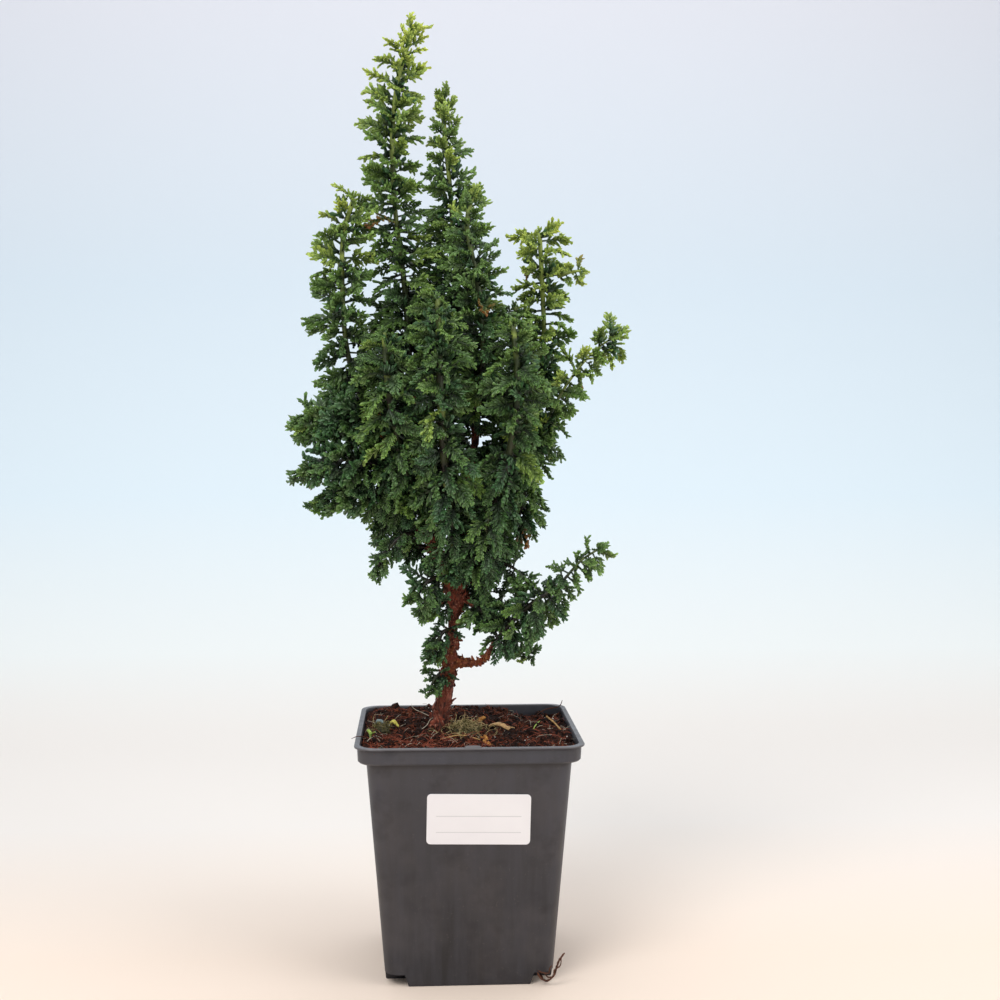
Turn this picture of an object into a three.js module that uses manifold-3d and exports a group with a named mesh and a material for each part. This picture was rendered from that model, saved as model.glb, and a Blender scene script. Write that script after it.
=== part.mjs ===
// Hinoki cypress bonsai in a square nursery pot.
// Millimetres, +Z up. The origin is the centre of the pot's underside, on the surface that it
// stands on; the front, with the label, faces -Y.
import * as THREE from 'three';
import { mergeVertices } from 'three/addons/utils/BufferGeometryUtils.js';
import Module from 'manifold-3d';

const wasm = await Module();
wasm.setup();

// ---- driving dimensions ----------------------------------------------------------------------

const GAP = 0.3; // kept between neighbours
const WELD = 1e-3; // vertices this close are one

// A standard 11 x 11 x 12 cm pot. Half widths run from the axis to a flat side.
const POT_HEIGHT = 120;
const LIP_HALF = 55.5;
const LIP_THICKNESS = 0.9;
const BAND_HALF = 53.8;
const BAND_HEIGHT = 8.4;
const SHOULDER_HALF = 49.8;
const BASE_HALF = 41;
const BASE_ROUNDING = 0.8;
const WALL = 1.3;
const FLOOR = 1.6;
const CORNER_SHARE = 0.18; // corner radius as a share of the half width
const CORNER_STEPS = 4;
const FOOT_NOTCH = 11.7; // how far each raised corner reaches along the sides
const FOOT_NOTCH_SLANT = 2.2;
const FOOT_NOTCH_HEIGHT = 6;
const DRAIN_RADIUS = 2.2;
const DRAIN_OFFSET = 35;

const LABEL_WIDTH = 50;
const LABEL_HEIGHT = 25;
const LABEL_THICKNESS = 0.3;
const LABEL_CORNER = 2;
const LABEL_CENTRE = [4.2, 83.9]; // x and z on the front wall
const LABEL_TURN = -1.1; // degrees

const SOIL_LEVEL = 116.4;
const SOIL_RISE = 2.8; // from the front edge to the back edge
const SOIL_DIP = 5.5; // at the right back corner
const SOIL_SHARES = [0.9, 0.74, 0.57, 0.4, 0.24, 0.1]; // rings of the uneven top, from the edge in

const TRUNK_FOOT = [-15, 5, 101];
const FOOT_RADIUS = 5.8;
const HOLE_RADIUS = FOOT_RADIUS * 1.16 + GAP;
const HOLE_HEIGHT = 24;
const HOLE_TAPER = 0.8; // its top radius as a share of its bottom one
const TRUNK_TAPER = 0.5; // below 1 a limb slims down early

// Wood: centre lines and the radius at the two ends.
const LIMBS = [
  {
    line: [TRUNK_FOOT, [-14.5, 5, 119], [-10.7, 3, 137], [-8, 0, 155], [-7, 0, 171], [-5, 0, 188]],
    radius: [FOOT_RADIUS, 2.7], sides: 8, steps: 7, bark: 0.14,
  },
  {
    line: [[-5.5, 0, 178], [-10, -3, 199], [-18, -3, 218], [-20, 2, 240], [-24, 3, 268], [-29, 6, 298]],
    radius: [3.8, 1.9], sides: 6, steps: 6, bark: 0.12,
  },
  {
    line: [[-5, 0, 180], [-1, 3, 206], [-3, 5, 221], [2, 6, 249], [5, 8, 268], [3, 11, 284]],
    radius: [3.8, 1.9], sides: 6, steps: 6, bark: 0.12,
  },
  {
    line: [[-6, 0, 154], [1, -3, 151.5], [8, -8, 155], [13, -11, 162]],
    radius: [2.4, 1.4], sides: 6, steps: 4, bark: 0.12,
  },
];

// Leafy stems. Each begins inside the wood: the first STUB mm of its line are a bare woody stub,
// and the rest is the leafy stem. reach is how far its fans stand out from the line, core is the
// radius of its dense middle and lift is how far the fans tip up, in degrees, all three at even
// steps from the stub to the tip. fans is the share of peaks that carry a fan.
const STUB = 9;
const STEMS = [
  {
    name: 'leader_main', fans: 0.24, reach: [24, 22, 20, 18, 18, 17, 9], core: [8, 8, 5, 1.6, 1.4, 1, 0.9],
    lift: [15, 20, 25, 30, 32, 32, 60],
    line: [[-28, 6, 294], [-31, 5, 342], [-36, 2, 385], [-37, 2, 420], [-33, 2, 452], [-26, 1, 472]],
  },
  {
    name: 'leader_back', fans: 0.25, reach: [24, 22, 20, 17, 15, 8], core: [9, 9, 6, 1.6, 1.1, 0.9],
    lift: [10, 20, 25, 30, 32, 60],
    line: [[3, 10.5, 279], [-1, 12, 317], [-5, 9, 352], [-8, 8, 395], [-11, 9, 428], [-11, 9, 441]],
  },
  {
    name: 'leader_centre', fans: 0.25, reach: [18, 21, 20, 16, 8], core: [5, 8, 6, 1.6, 0.9],
    lift: [10, 20, 30, 32, 60],
    line: [[5, 7, 264], [6, -7, 284], [8, -14, 314], [5, -16, 345], [0, -16, 372], [3, -16, 389]],
  },
  {
    name: 'leader_left', fans: 0.2, reach: [16, 20, 22, 19, 18, 13], core: [5, 8, 6, 1.6, 1.3, 0.9],
    lift: [0, 10, 20, 28, 30, 40],
    line: [[-20, 2, 240], [-34, 0, 254], [-48, -3, 276], [-59, -7, 307], [-62, -7, 342], [-61, -7, 370],
      [-56, -7, 386]],
  },
  {
    name: 'leader_right', fans: 0.26, reach: [16, 18, 18, 17, 15, 17], core: [5, 8, 5, 1.5, 1.2, 0.9],
    lift: [0, 10, 25, 30, 25, 20],
    line: [[2, 6, 247], [18, 9, 257], [33, 9, 276], [40, 10, 312], [39.5, 10, 345], [38, 10, 372]],
  },
  {
    name: 'branch_right', fans: 0.27, reach: [15, 18, 18, 14, 13, 12], core: [5, 8, 6, 1.5, 1.2, 0.9],
    lift: [0, 10, 20, 25, 30, 20],
    line: [[-2, 5, 226], [16, -2, 243], [36, -4, 268], [51, -1, 294], [65, 1, 311], [76, 2, 319]],
  },
  {
    name: 'branch_low_right', fans: 0.3, reach: [12, 18, 18, 14, 12, 10], core: [2.5, 6, 6, 1.5, 1, 0.8],
    lift: [10, 5, 10, 20, 25, 25],
    line: [[9, -8, 156], [20, -13, 172], [32, -16, 184], [45, -17, 193], [57, -18, 207], [65, -19, 214]],
  },
  {
    name: 'branch_left_upper', fans: 0.5, reach: [16, 20, 20, 18, 14], core: [5, 9, 7, 2, 1],
    lift: [0, 0, 0, -5, -10],
    line: [[-23, 3, 262], [-41, -10, 272], [-59, -16, 277], [-73, -18, 277], [-83, -17, 273]],
  },
  {
    name: 'branch_left_middle', fans: 0.5, reach: [15, 18, 18, 17, 13], core: [4, 8, 7, 2, 1],
    lift: [0, 0, -5, -8, -10],
    line: [[-20, 1, 238], [-37, -14, 250], [-54, -19, 256], [-69, -20, 255], [-81, -19, 250]],
  },
  {
    name: 'branch_left_lower', fans: 0.35, reach: [13, 16, 16, 13, 9], core: [3, 6, 6, 2, 1],
    lift: [0, -5, -5, -5, -10],
    line: [[-18, -3, 224], [-34, -9, 236], [-50, -12, 239], [-64, -14, 238], [-74, -15, 234]],
  },
  {
    name: 'branch_left_back', fans: 0.3, reach: [16, 19, 18, 16, 12], core: [5, 10, 8, 3, 1],
    lift: [0, 5, 5, 5, 5],
    line: [[-23, 3, 263], [-42, 19, 277], [-60, 28, 281], [-76, 30, 276], [-84, 29, 269]],
  },
  {
    name: 'branch_left_low', fans: 0.5, reach: [10, 11, 10, 7], core: [2, 1.6, 1.2, 0.8],
    lift: [0, -5, -10, -10],
    line: [[-18, -3, 215], [-30, -11, 219], [-40, -14, 211], [-46, -14, 200]],
  },
  {
    name: 'spray_low_middle', fans: 0.4, reach: [13, 16, 15, 9], core: [2, 3, 2.5, 1],
    lift: [0, -5, -15, -20],
    line: [[-7, -1, 191], [-14, -9, 197], [-20, -13, 195], [-26, -15, 187]],
  },
  {
    name: 'spray_hanging', fans: 0.3, reach: [12, 14, 13, 8], core: [3, 4, 3, 1],
    lift: [0, -5, -10, -20],
    line: [[-3, 2, 200], [8, 4, 190], [18, 5, 178], [27, 3, 164], [33, 0, 154]],
  },
  {
    name: 'leader_front', fans: 0.18, reach: [16, 21, 22, 20, 13], core: [6, 13, 14, 10, 3],
    lift: [0, 5, 15, 25, 40],
    line: [[-10, -3, 199], [-8, -20, 222], [-12, -31, 258], [-14, -34, 300], [-15, -32, 334]],
  },
  {
    name: 'leader_front_right', fans: 0.1, reach: [16, 21, 22, 20, 13], core: [6, 13, 14, 10, 3],
    lift: [0, 5, 15, 25, 40],
    line: [[-2, 4, 214], [12, -14, 232], [21, -25, 262], [24, -28, 296], [22, -27, 322]],
  },
  {
    name: 'leader_front_left', fans: 0.2, reach: [16, 20, 21, 20, 13], core: [6, 11, 13, 10, 3],
    lift: [0, 5, 15, 25, 40],
    line: [[-19, -1, 230], [-32, -24, 256], [-38, -31, 286], [-41, -28, 318]],
  },
  {
    name: 'leader_back_middle', fans: 0.1, reach: [16, 21, 22, 20, 16, 12], core: [6, 13, 14, 9, 3, 1.4],
    lift: [0, 5, 15, 25, 32, 40],
    line: [[-2, 5, 219], [-4, 23, 240], [-8, 34, 276], [-10, 36, 320], [-13, 31, 355], [-14, 26, 380]],
  },
  {
    name: 'leader_back_right', fans: 0.13, reach: [16, 21, 22, 20, 13], core: [6, 13, 14, 10, 3],
    lift: [0, 5, 15, 25, 40],
    line: [[0, 6, 239], [17, 20, 256], [29, 31, 286], [30, 32, 322], [27, 32, 336]],
  },
  {
    name: 'leader_back_left', fans: 0.13, reach: [16, 21, 22, 20, 13], core: [6, 13, 14, 10, 3],
    lift: [0, 5, 15, 25, 40],
    line: [[-21, 2, 247], [-33, 20, 268], [-40, 30, 300], [-41, 29, 336]],
  },
  {
    name: 'spray_right', fans: 0.25, reach: [14, 18, 19, 15], core: [5, 9, 9, 5],
    lift: [0, 0, 10, 20],
    line: [[-2, 4, 210], [13, 2, 214], [26, 0, 226], [31, -3, 247]],
  },
  {
    name: 'spray_low_front', fans: 0.25, reach: [14, 18, 19, 15], core: [5, 9, 9, 5],
    lift: [0, 0, 5, 10],
    line: [[-4, 0, 194], [2, -13, 200], [7, -21, 212], [10, -27, 228]],
  },
  {
    name: 'spray_low_left', fans: 0.25, reach: [14, 18, 19, 15], core: [5, 9, 9, 5],
    lift: [0, 0, 0, 5],
    line: [[-15, -4, 210], [-26, 7, 213], [-36, 13, 224], [-46, 15, 236]],
  },
  {
    name: 'spray_low_back', fans: 0.25, reach: [14, 18, 19, 15], core: [5, 9, 9, 5],
    lift: [0, 0, 5, 10],
    line: [[-5, 0, 186], [0, 15, 197], [5, 26, 211], [8, 31, 232]],
  },
  {
    name: 'spray_right_upper', fans: 0.4, reach: [7, 9, 9, 8], core: [1, 1, 0.9, 0.8],
    lift: [10, 10, 10, 10],
    line: [[40.5, 10, 348], [48, 6, 350], [55, 4, 352], [59, 3, 352]],
  },
  {
    name: 'spray_low_right', fans: 0.3, reach: [12, 13, 13, 10], core: [2.5, 3, 2.5, 1],
    lift: [0, 0, -10, -10],
    line: [[-3, 3, 203], [12, -5, 205], [24, -9, 201], [31, -10, 193]],
  },
  {
    name: 'shoot_right', fans: 0.5, reach: [9, 12, 9], core: [1.1, 1, 0.8],
    lift: [0, -5, -10],
    line: [[-3, -2, 186], [5, -7, 182], [11, -9, 173]],
  },
  {
    name: 'shoot_upper', fans: 0.5, reach: [10, 12, 11, 8], core: [1.1, 1.1, 1, 0.8],
    lift: [0, 0, -5, -10],
    line: [[-6.5, 0, 181], [-13, -6, 185], [-18, -8, 183], [-22, -9, 178]],
  },
  {
    name: 'shoot_middle', fans: 0.5, reach: [8, 10, 10, 8], core: [1.1, 1, 1, 0.8],
    lift: [0, 0, -10, -20],
    line: [[-7, -1, 168], [-11, -8, 170], [-15, -11, 165], [-18, -12, 157]],
  },
  {
    name: 'shoot_low', fans: 0.5, reach: [8, 9, 6], core: [1, 0.9, 0.8],
    lift: [0, 0, -5],
    line: [[-9.5, 2, 146], [-13, -5, 148], [-17, -7, 144], [-19, -8, 139]],
  },
];

// A fan is a flat spray of blunt fingers on both sides of a rachis. Every finger is [where it
// forks off, degrees from the rachis, length], in shares of the fan's length, from left to right.
const LARGE_FAN = [[0.18, -64, 0.46], [0.38, -44, 0.46], [0.6, 0, 0.4], [0.48, 48, 0.42], [0.28, 64, 0.46]];
const SMALL_FAN = [[0.28, -54, 0.54], [0.48, 0, 0.52], [0.38, 50, 0.52]];
const LARGE_FROM = 17; // length from which a fan is a large one
const FINGER_BELLY = 0.6; // where along a finger it is widest
const FINGER_GIRTH = 0.26; // its half width there, as a share of its length
const FINGER_THICKNESS = 0.85; // its thickness as a share of its width
const FINGER_BEADS = [[0.3, 0.75], [0.6, 1.05], [0.85, 0.6]]; // shares of a finger's length and girth
const PALM = [0.3, 0.07]; // the palm's place and half thickness, in shares of the fan's length
const SHOULDERS = [0.07, 0.12]; // half width and place of the palm's shoulders, at the fan's base
const VALLEY = 0.1; // how far a valley between fingers stands off the rachis
const FAN_LEAST = 7;
const FAN_TRIES = [1, 0.88, 0.76]; // shares of a fan's wanted length
const ROLL_RANGE = 1.1; // radians, in all, that a fan's plane may be turned about its rachis

// Cores and their tufts. A chessboard of peaks covers each core: a peak is drawn out into a single
// pointed tuft, or carries a fan.
const STUB_RADIUS = 1.7;
const LINE_RADIUS = 1.4;
const CORE_FILL = 0.8; // the share of its free room that a core takes
const DENSE_FROM = 4; // a core thicker than this has more sides
const DENSE_SIDES = 8;
const DENSE_ROW = 7;
const SLIM_SIDES = 6;
const SLIM_ROW = 6;
const LIFT_RANGE = 20; // degrees
const TUFT_LEAST = 2;
const TUFT_TRIES = [1, 0.8, 0.6, 0.4]; // shares of a tuft's wanted length
const TUFT_BEADS = [[0.35, 1.5], [0.65, 1.1], [0.97, 0.6]]; // share of a tuft's length, and room there
const TIP_LENGTH = 4;
const BEAD_STEP = 3;

// What lies on the soil: points of [x, y, height above the soil].
const BARK_CHIP = [[11.5, 3, 1.1], [14, 1, 2.6], [17.5, -2, 2.4], [21, -4, 1.8], [24, -6, 1]];
const TAN_TWIG = [[48, -4, 0.9], [45.5, 4, 2.6], [42, 12, 4.8]];
const THIN_TWIG = [[-14, -24, 1], [-4, -20, 1.7], [6, -25, 1]];
const SEEDLING_PLACE = [-48.6, -22];

// A root that hangs out of a drain hole and curls up in front of the pot, and what feeds it.
const DRAIN_ROOT = [
  [32.8, -43.6, 6.9], [34.7, -43.7, 3.6], [37.2, -43.8, 2.4], [40.6, -43.9, 4.4], [41.8, -44.3, 8.2],
  [43, -44.8, 12.4], [46, -45, 16.8],
];
const DRAIN_FEEDER = [
  [DRAIN_OFFSET, -DRAIN_OFFSET, 7], [DRAIN_OFFSET, -36, 4], [36, -40, 2.2], [37.6, -43.9, 2.6],
];
const DRAIN_ROOT_RADIUS = 0.6;

const DEGREE = Math.PI / 180;

// ---- materials -------------------------------------------------------------------------------

function finish(color, roughness) {
  return new THREE.MeshStandardMaterial({ color, roughness, metalness: 0 });
}

const POT_PLASTIC = finish(0x3b3e41, 0.45);
const LABEL_FILM = finish(0xf4f4f2, 0.35);
const PEAT = finish(0x2a1d17, 0.95);
const BARK = finish(0x7a4630, 0.9);
const FOLIAGE = finish(0x2f6a35, 0.6);
const MOSS = finish(0x7d8a35, 0.95);
const DRY_STALK = finish(0xb08a58, 0.85);
const SEEDLING = finish(0x9fc04a, 0.6);
const ROOT_SKIN = finish(0x4b2e1f, 0.85);

// ---- solids ----------------------------------------------------------------------------------

function seededRandom(seed) {
  let state = seed;
  return () => {
    state = (state * 16807) % 2147483647;
    return state / 2147483647;
  };
}

// Positions alone, with the vertices that share a place merged.
function welded(geometry) {
  const bare = geometry.clone();
  bare.deleteAttribute('normal');
  bare.deleteAttribute('uv');
  return mergeVertices(bare, WELD);
}

// A closed geometry becomes a solid, without the flat triangles at its poles.
function toSolid(geometry) {
  const merged = welded(geometry);
  const corners = [];
  for (let i = 0; i < merged.index.count; i += 3) {
    const [a, b, c] = [0, 1, 2].map((k) => merged.index.getX(i + k));
    if (a !== b && b !== c && c !== a) corners.push(a, b, c);
  }
  return new wasm.Manifold(new wasm.Mesh({
    numProp: 3,
    vertProperties: new Float32Array(merged.attributes.position.array),
    triVerts: new Uint32Array(corners),
  }));
}

function joined(solids) {
  return solids.reduce((whole, solid) => whole.add(solid));
}

// The main body of a join: loose scraps are dropped and sealed hollows are filled.
function mainBody(solid) {
  const bodies = toSolid(toGeometry(solid)).decompose();
  return bodies.reduce((best, body) => (body.volume() > best.volume() ? body : best));
}

function toGeometry(solid) {
  const mesh = solid.getMesh();
  const geometry = new THREE.BufferGeometry();
  geometry.setAttribute('position', new THREE.BufferAttribute(mesh.vertProperties, 3));
  geometry.setIndex(new THREE.BufferAttribute(mesh.triVerts, 1));
  return geometry;
}

function piece(name, solid, material) {
  const geometry = toGeometry(solid);
  geometry.computeVertexNormals();
  const mesh = new THREE.Mesh(geometry, material);
  mesh.name = name;
  return mesh;
}

// A rounded square of half width 1: CORNER_STEPS + 1 points on each corner, one in mid-side.
const QUARTER_STEPS = CORNER_STEPS + 2;
const SQUARE_STEPS = QUARTER_STEPS * 4;

function squarePoint(index) {
  const step = index % QUARTER_STEPS;
  const angle = (Math.min(step, CORNER_STEPS) / CORNER_STEPS) * (Math.PI / 2);
  const centre = 1 - CORNER_SHARE;
  const point = new THREE.Vector2(centre, centre);
  point.add(new THREE.Vector2(Math.cos(angle), Math.sin(angle)).multiplyScalar(CORNER_SHARE));
  if (step > CORNER_STEPS) point.set(0, 1);
  return point.rotateAround(new THREE.Vector2(), Math.floor(index / QUARTER_STEPS) * (Math.PI / 2));
}

// A lathe whose rings are rounded squares. profile holds [half width, z] from axis to axis.
function squareLathe(profile, heightAt = (x, y, z) => z) {
  const points = profile.map(([half, z]) => new THREE.Vector2(half, z));
  const lathe = new THREE.LatheGeometry(points, SQUARE_STEPS);
  const position = lathe.attributes.position;
  for (let i = 0; i < position.count; i += 1) {
    const turn = Math.atan2(position.getX(i), position.getZ(i)) / (2 * Math.PI);
    const index = (Math.round(turn * SQUARE_STEPS) + SQUARE_STEPS) % SQUARE_STEPS;
    const half = Math.hypot(position.getX(i), position.getZ(i));
    const spot = squarePoint(index).multiplyScalar(half);
    position.setXYZ(i, spot.x, spot.y, heightAt(spot.x, spot.y, position.getY(i), half));
  }
  return toSolid(lathe);
}

const FRAME_STEPS = 400;

// A closed skin over rings of points, ending in a point at each end. It is covered by patches: the
// points of one colour of a chessboard are peaks, and four triangles meet at each.
function peaksOf(rings) {
  return rings.flatMap((ring, row) => ring.map((_, side) => [row, side]))
    .filter(([row, side]) => (row + side) % 2 === 0);
}

// The four points round a peak.
function diamond({ rings, start, end }, row, side) {
  const sides = rings[0].length;
  const [right, left] = [rings[row][(side + 1) % sides], rings[row][(side + sides - 1) % sides]];
  const above = row < rings.length - 1 ? rings[row + 1][side] : end;
  const below = row > 0 ? rings[row - 1][side] : start;
  return [right, above, left, below];
}

function peakPatch(peak, ring) {
  return ring.map((corner, k) => [peak, corner, ring[(k + 1) % ring.length]]);
}

function solidFrom(triangles) {
  return toSolid(new THREE.BufferGeometry().setFromPoints(triangles.flat()));
}

// Directions square to a curve, evenly round it, at a share of its length.
function spokes(curve, frames, share, sides) {
  const k = Math.round(share * FRAME_STEPS);
  return Array.from({ length: sides }, (_, side) => {
    const angle = (side / sides) * 2 * Math.PI;
    const across = frames.normals[k].clone().multiplyScalar(Math.cos(angle));
    return across.addScaledVector(frames.binormals[k], Math.sin(angle));
  });
}

// A tube along a curve, closed at both ends, with rings at the given shares of its length.
function tube(curve, rows, sides, radiusAt) {
  const frames = curve.computeFrenetFrames(FRAME_STEPS);
  const rings = rows.map((share, row) => spokes(curve, frames, share, sides).map(
    (spoke, side) => curve.getPointAt(share).addScaledVector(spoke, radiusAt(row, side, share)),
  ));
  const skin = { rings, start: curve.getPointAt(rows[0]), end: curve.getPointAt(rows.at(-1)) };
  const patches = peaksOf(rings).map(([row, side]) => peakPatch(rings[row][side], diamond(skin, row, side)));
  return solidFrom(patches.flat());
}

function evenRows(steps, from = 0, to = 1) {
  return Array.from({ length: steps + 1 }, (_, row) => THREE.MathUtils.lerp(from, to, row / steps));
}

function curveThrough(line) {
  return new THREE.CatmullRomCurve3(line.map((point) => new THREE.Vector3(...point)), false, 'centripetal');
}

// The value of a list that is spread evenly over 0..1, at a share of the way along.
function along(values, share) {
  const place = Math.min(Math.max(share, 0), 1) * (values.length - 1);
  const low = Math.min(Math.floor(place), values.length - 2);
  return THREE.MathUtils.lerp(values[low], values[low + 1], place - low);
}

// A unit fan: x runs across it, y outwards along its rachis and z is its normal. It is open at its
// base, a ring of four points: the two shoulders and the palm's two faces.
function unitFan(fingers) {
  const points = [];
  const triangles = [];
  const add = (x, y, z) => points.push(new THREE.Vector3(x, y, z)) - 1;
  const palm = [add(0, PALM[0], PALM[1]), add(0, PALM[0], -PALM[1])];
  const firstShoulder = add(-SHOULDERS[0], SHOULDERS[1], 0);
  let valley = firstShoulder;
  fingers.forEach(([fork, angle, share], index) => {
    const spot = (out, across) => new THREE.Vector2(
      out * Math.sin(angle * DEGREE) + across * Math.cos(angle * DEGREE),
      fork + out * Math.cos(angle * DEGREE) - across * Math.sin(angle * DEGREE),
    );
    const girth = share * FINGER_GIRTH;
    const belly = share * FINGER_BELLY;
    const outline = [spot(belly, -girth), spot(share, 0), spot(belly, girth)]
      .map(({ x, y }) => add(x, y, 0));
    let next = null;
    if (index < fingers.length - 1) {
      const [nextFork, nextAngle] = fingers[index + 1];
      const middle = ((angle + nextAngle) / 2) * DEGREE;
      next = add(VALLEY * Math.sin(middle), (fork + nextFork) / 2 + VALLEY * Math.cos(middle), 0);
    } else {
      next = add(SHOULDERS[0], SHOULDERS[1], 0);
    }
    [1, -1].forEach((face, side) => {
      const { x, y } = spot(belly * 0.9, 0);
      const ridge = add(x, y, face * girth * FINGER_THICKNESS);
      const ring = [palm[side], valley, ...outline, next];
      ring.forEach((corner, k) => {
        const after = ring[(k + 1) % ring.length];
        triangles.push(face > 0 ? [ridge, after, corner] : [ridge, corner, after]);
      });
    });
    valley = next;
  });
  const beadsOfFinger = ([fork, angle, share]) => FINGER_BEADS.map(([out, size]) => {
    const x = share * out * Math.sin(angle * DEGREE);
    const y = fork + share * out * Math.cos(angle * DEGREE);
    return new THREE.Sphere(new THREE.Vector3(x, y, 0), share * FINGER_GIRTH * size);
  });
  const base = [firstShoulder, palm[0], valley, palm[1]];
  return { points, triangles, base, beads: fingers.flatMap(beadsOfFinger) };
}

const SMALL = unitFan(SMALL_FAN);
const LARGE = unitFan(LARGE_FAN);

// ---- pot, label and soil ---------------------------------------------------------------------

const SHOULDER_Z = POT_HEIGHT - BAND_HEIGHT;

// Raised corners: a square frustum at each corner of the base.
function cornerBlocks(grow) {
  const reach = FOOT_NOTCH + grow;
  const height = FOOT_NOTCH_HEIGHT + grow;
  return joined([0, 1, 2, 3].map((quarter) => {
    const [top, bottom] = [reach - FOOT_NOTCH_SLANT, reach].map((half) => half * Math.SQRT2);
    const block = new THREE.CylinderGeometry(top, bottom, height + 1, 4);
    block.rotateX(Math.PI / 2);
    block.rotateZ(Math.PI / 4);
    block.translate(BASE_HALF, BASE_HALF, (height - 1) / 2);
    block.rotateZ((quarter * Math.PI) / 2);
    return toSolid(block);
  }));
}

function makePot() {
  const outside = squareLathe([
    [0, 0], [BASE_HALF - BASE_ROUNDING, 0], [BASE_HALF - BASE_ROUNDING * 0.3, BASE_ROUNDING * 0.3],
    [BASE_HALF, BASE_ROUNDING],
    [SHOULDER_HALF, SHOULDER_Z - 1], [BAND_HALF - 0.6, SHOULDER_Z], [BAND_HALF, SHOULDER_Z + 0.8],
    [BAND_HALF + 0.3, POT_HEIGHT - LIP_THICKNESS - 0.8], [LIP_HALF, POT_HEIGHT - LIP_THICKNESS],
    [LIP_HALF, POT_HEIGHT], [0, POT_HEIGHT],
  ]);
  const inside = squareLathe([
    [0, FLOOR], [BASE_HALF - WALL - BASE_ROUNDING, FLOOR], [BASE_HALF - WALL, FLOOR + BASE_ROUNDING],
    [SHOULDER_HALF - WALL, SHOULDER_Z + 0.4], [BAND_HALF - WALL, SHOULDER_Z + WALL],
    [BAND_HALF - WALL + 0.3, POT_HEIGHT + 1], [0, POT_HEIGHT + 1],
  ]);
  const drains = [45, 135, 225, 315].map((degrees) => {
    const drain = new THREE.CylinderGeometry(DRAIN_RADIUS, DRAIN_RADIUS, FOOT_NOTCH_HEIGHT * 3, 8);
    drain.rotateX(Math.PI / 2);
    drain.translate(DRAIN_OFFSET * Math.SQRT2, 0, FOOT_NOTCH_HEIGHT);
    drain.rotateZ(degrees * DEGREE);
    return toSolid(drain);
  });
  const hollow = inside.subtract(cornerBlocks(FLOOR));
  return outside.subtract(hollow).subtract(cornerBlocks(0)).subtract(joined(drains));
}

function makeLabel() {
  const [right, top] = [LABEL_WIDTH / 2, LABEL_HEIGHT / 2];
  const outline = new THREE.Shape();
  outline.absarc(right - LABEL_CORNER, top - LABEL_CORNER, LABEL_CORNER, 0, Math.PI / 2);
  outline.absarc(LABEL_CORNER - right, top - LABEL_CORNER, LABEL_CORNER, Math.PI / 2, Math.PI);
  outline.absarc(LABEL_CORNER - right, LABEL_CORNER - top, LABEL_CORNER, Math.PI, Math.PI * 1.5);
  outline.absarc(right - LABEL_CORNER, LABEL_CORNER - top, LABEL_CORNER, Math.PI * 1.5, Math.PI * 2);
  const plate = new THREE.ExtrudeGeometry(outline, {
    depth: LABEL_THICKNESS, bevelEnabled: false, curveSegments: 2,
  });
  const draft = Math.atan2(SHOULDER_HALF - BASE_HALF, SHOULDER_Z - 1 - BASE_ROUNDING);
  const [x, z] = LABEL_CENTRE;
  plate.rotateZ(LABEL_TURN * DEGREE);
  plate.rotateX(Math.PI / 2 + draft);
  plate.translate(x, -BASE_HALF - (z - BASE_ROUNDING) * Math.tan(draft) - GAP / Math.cos(draft), z);
  return toSolid(plate);
}

// The soil rises towards the back, dips at the right back corner and is lumpy all over.
function soilHeight(x, y) {
  const rise = SOIL_RISE * ((y / BAND_HALF + 1) / 2) ** 1.5;
  const dip = SOIL_DIP * Math.exp(-((x - 40) ** 2 + (y - 48) ** 2) / 300);
  const lumps = 0.6 * Math.sin(x * 0.31 + 1.3) * Math.cos(y * 0.27 - 0.4);
  return SOIL_LEVEL + rise - dip + lumps + 0.4 * Math.sin(x * 0.7 - y * 0.55);
}

function makeSoil() {
  const edge = BAND_HALF - WALL - GAP;
  const profile = [
    [0, FLOOR + GAP], [BASE_HALF - WALL - BASE_ROUNDING - GAP, FLOOR + GAP],
    [BASE_HALF - WALL - GAP * 1.2, FLOOR + BASE_ROUNDING + GAP],
    [SHOULDER_HALF - WALL - GAP * 1.2, SHOULDER_Z + 0.4], [edge, SHOULDER_Z + WALL + GAP],
    ...[1, ...SOIL_SHARES, 0].map((share) => [edge * share, SOIL_LEVEL]),
  ];
  const block = squareLathe(profile, (x, y, z) => (z === SOIL_LEVEL ? soilHeight(x, y) : z));
  const hole = new THREE.CylinderGeometry(HOLE_RADIUS * HOLE_TAPER, HOLE_RADIUS, HOLE_HEIGHT, 12);
  hole.rotateX(Math.PI / 2);
  hole.translate(TRUNK_FOOT[0], TRUNK_FOOT[1], TRUNK_FOOT[2] - GAP + HOLE_HEIGHT / 2);
  return block.subtract(cornerBlocks(FLOOR + GAP)).subtract(toSolid(hole));
}

// ---- room ------------------------------------------------------------------------------------

// Every triangle already laid, by the cells of a grid, so that nothing grows through its neighbour.
const CELL = 7;
const cells = new Map();

function cellsOf(box) {
  const low = box.min.clone().divideScalar(CELL).floor();
  const high = box.max.clone().divideScalar(CELL).floor();
  const keys = [];
  for (let x = low.x; x <= high.x; x += 1) {
    for (let y = low.y; y <= high.y; y += 1) {
      for (let z = low.z; z <= high.z; z += 1) keys.push(`${x},${y},${z}`);
    }
  }
  return keys;
}

function lay(owner, triangles) {
  return triangles.map((corners) => {
    const entry = { owner, corners, box: new THREE.Box3().setFromPoints(corners), lifted: false };
    for (const key of cellsOf(entry.box)) {
      if (!cells.has(key)) cells.set(key, []);
      cells.get(key).push(entry);
    }
    return entry;
  });
}

// What lies in a box, apart from what has been lifted again.
function near(box) {
  const found = new Set(cellsOf(box).flatMap((key) => cells.get(key) ?? []));
  return [...found].filter((entry) => !entry.lifted && entry.box.intersectsBox(box));
}

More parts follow.
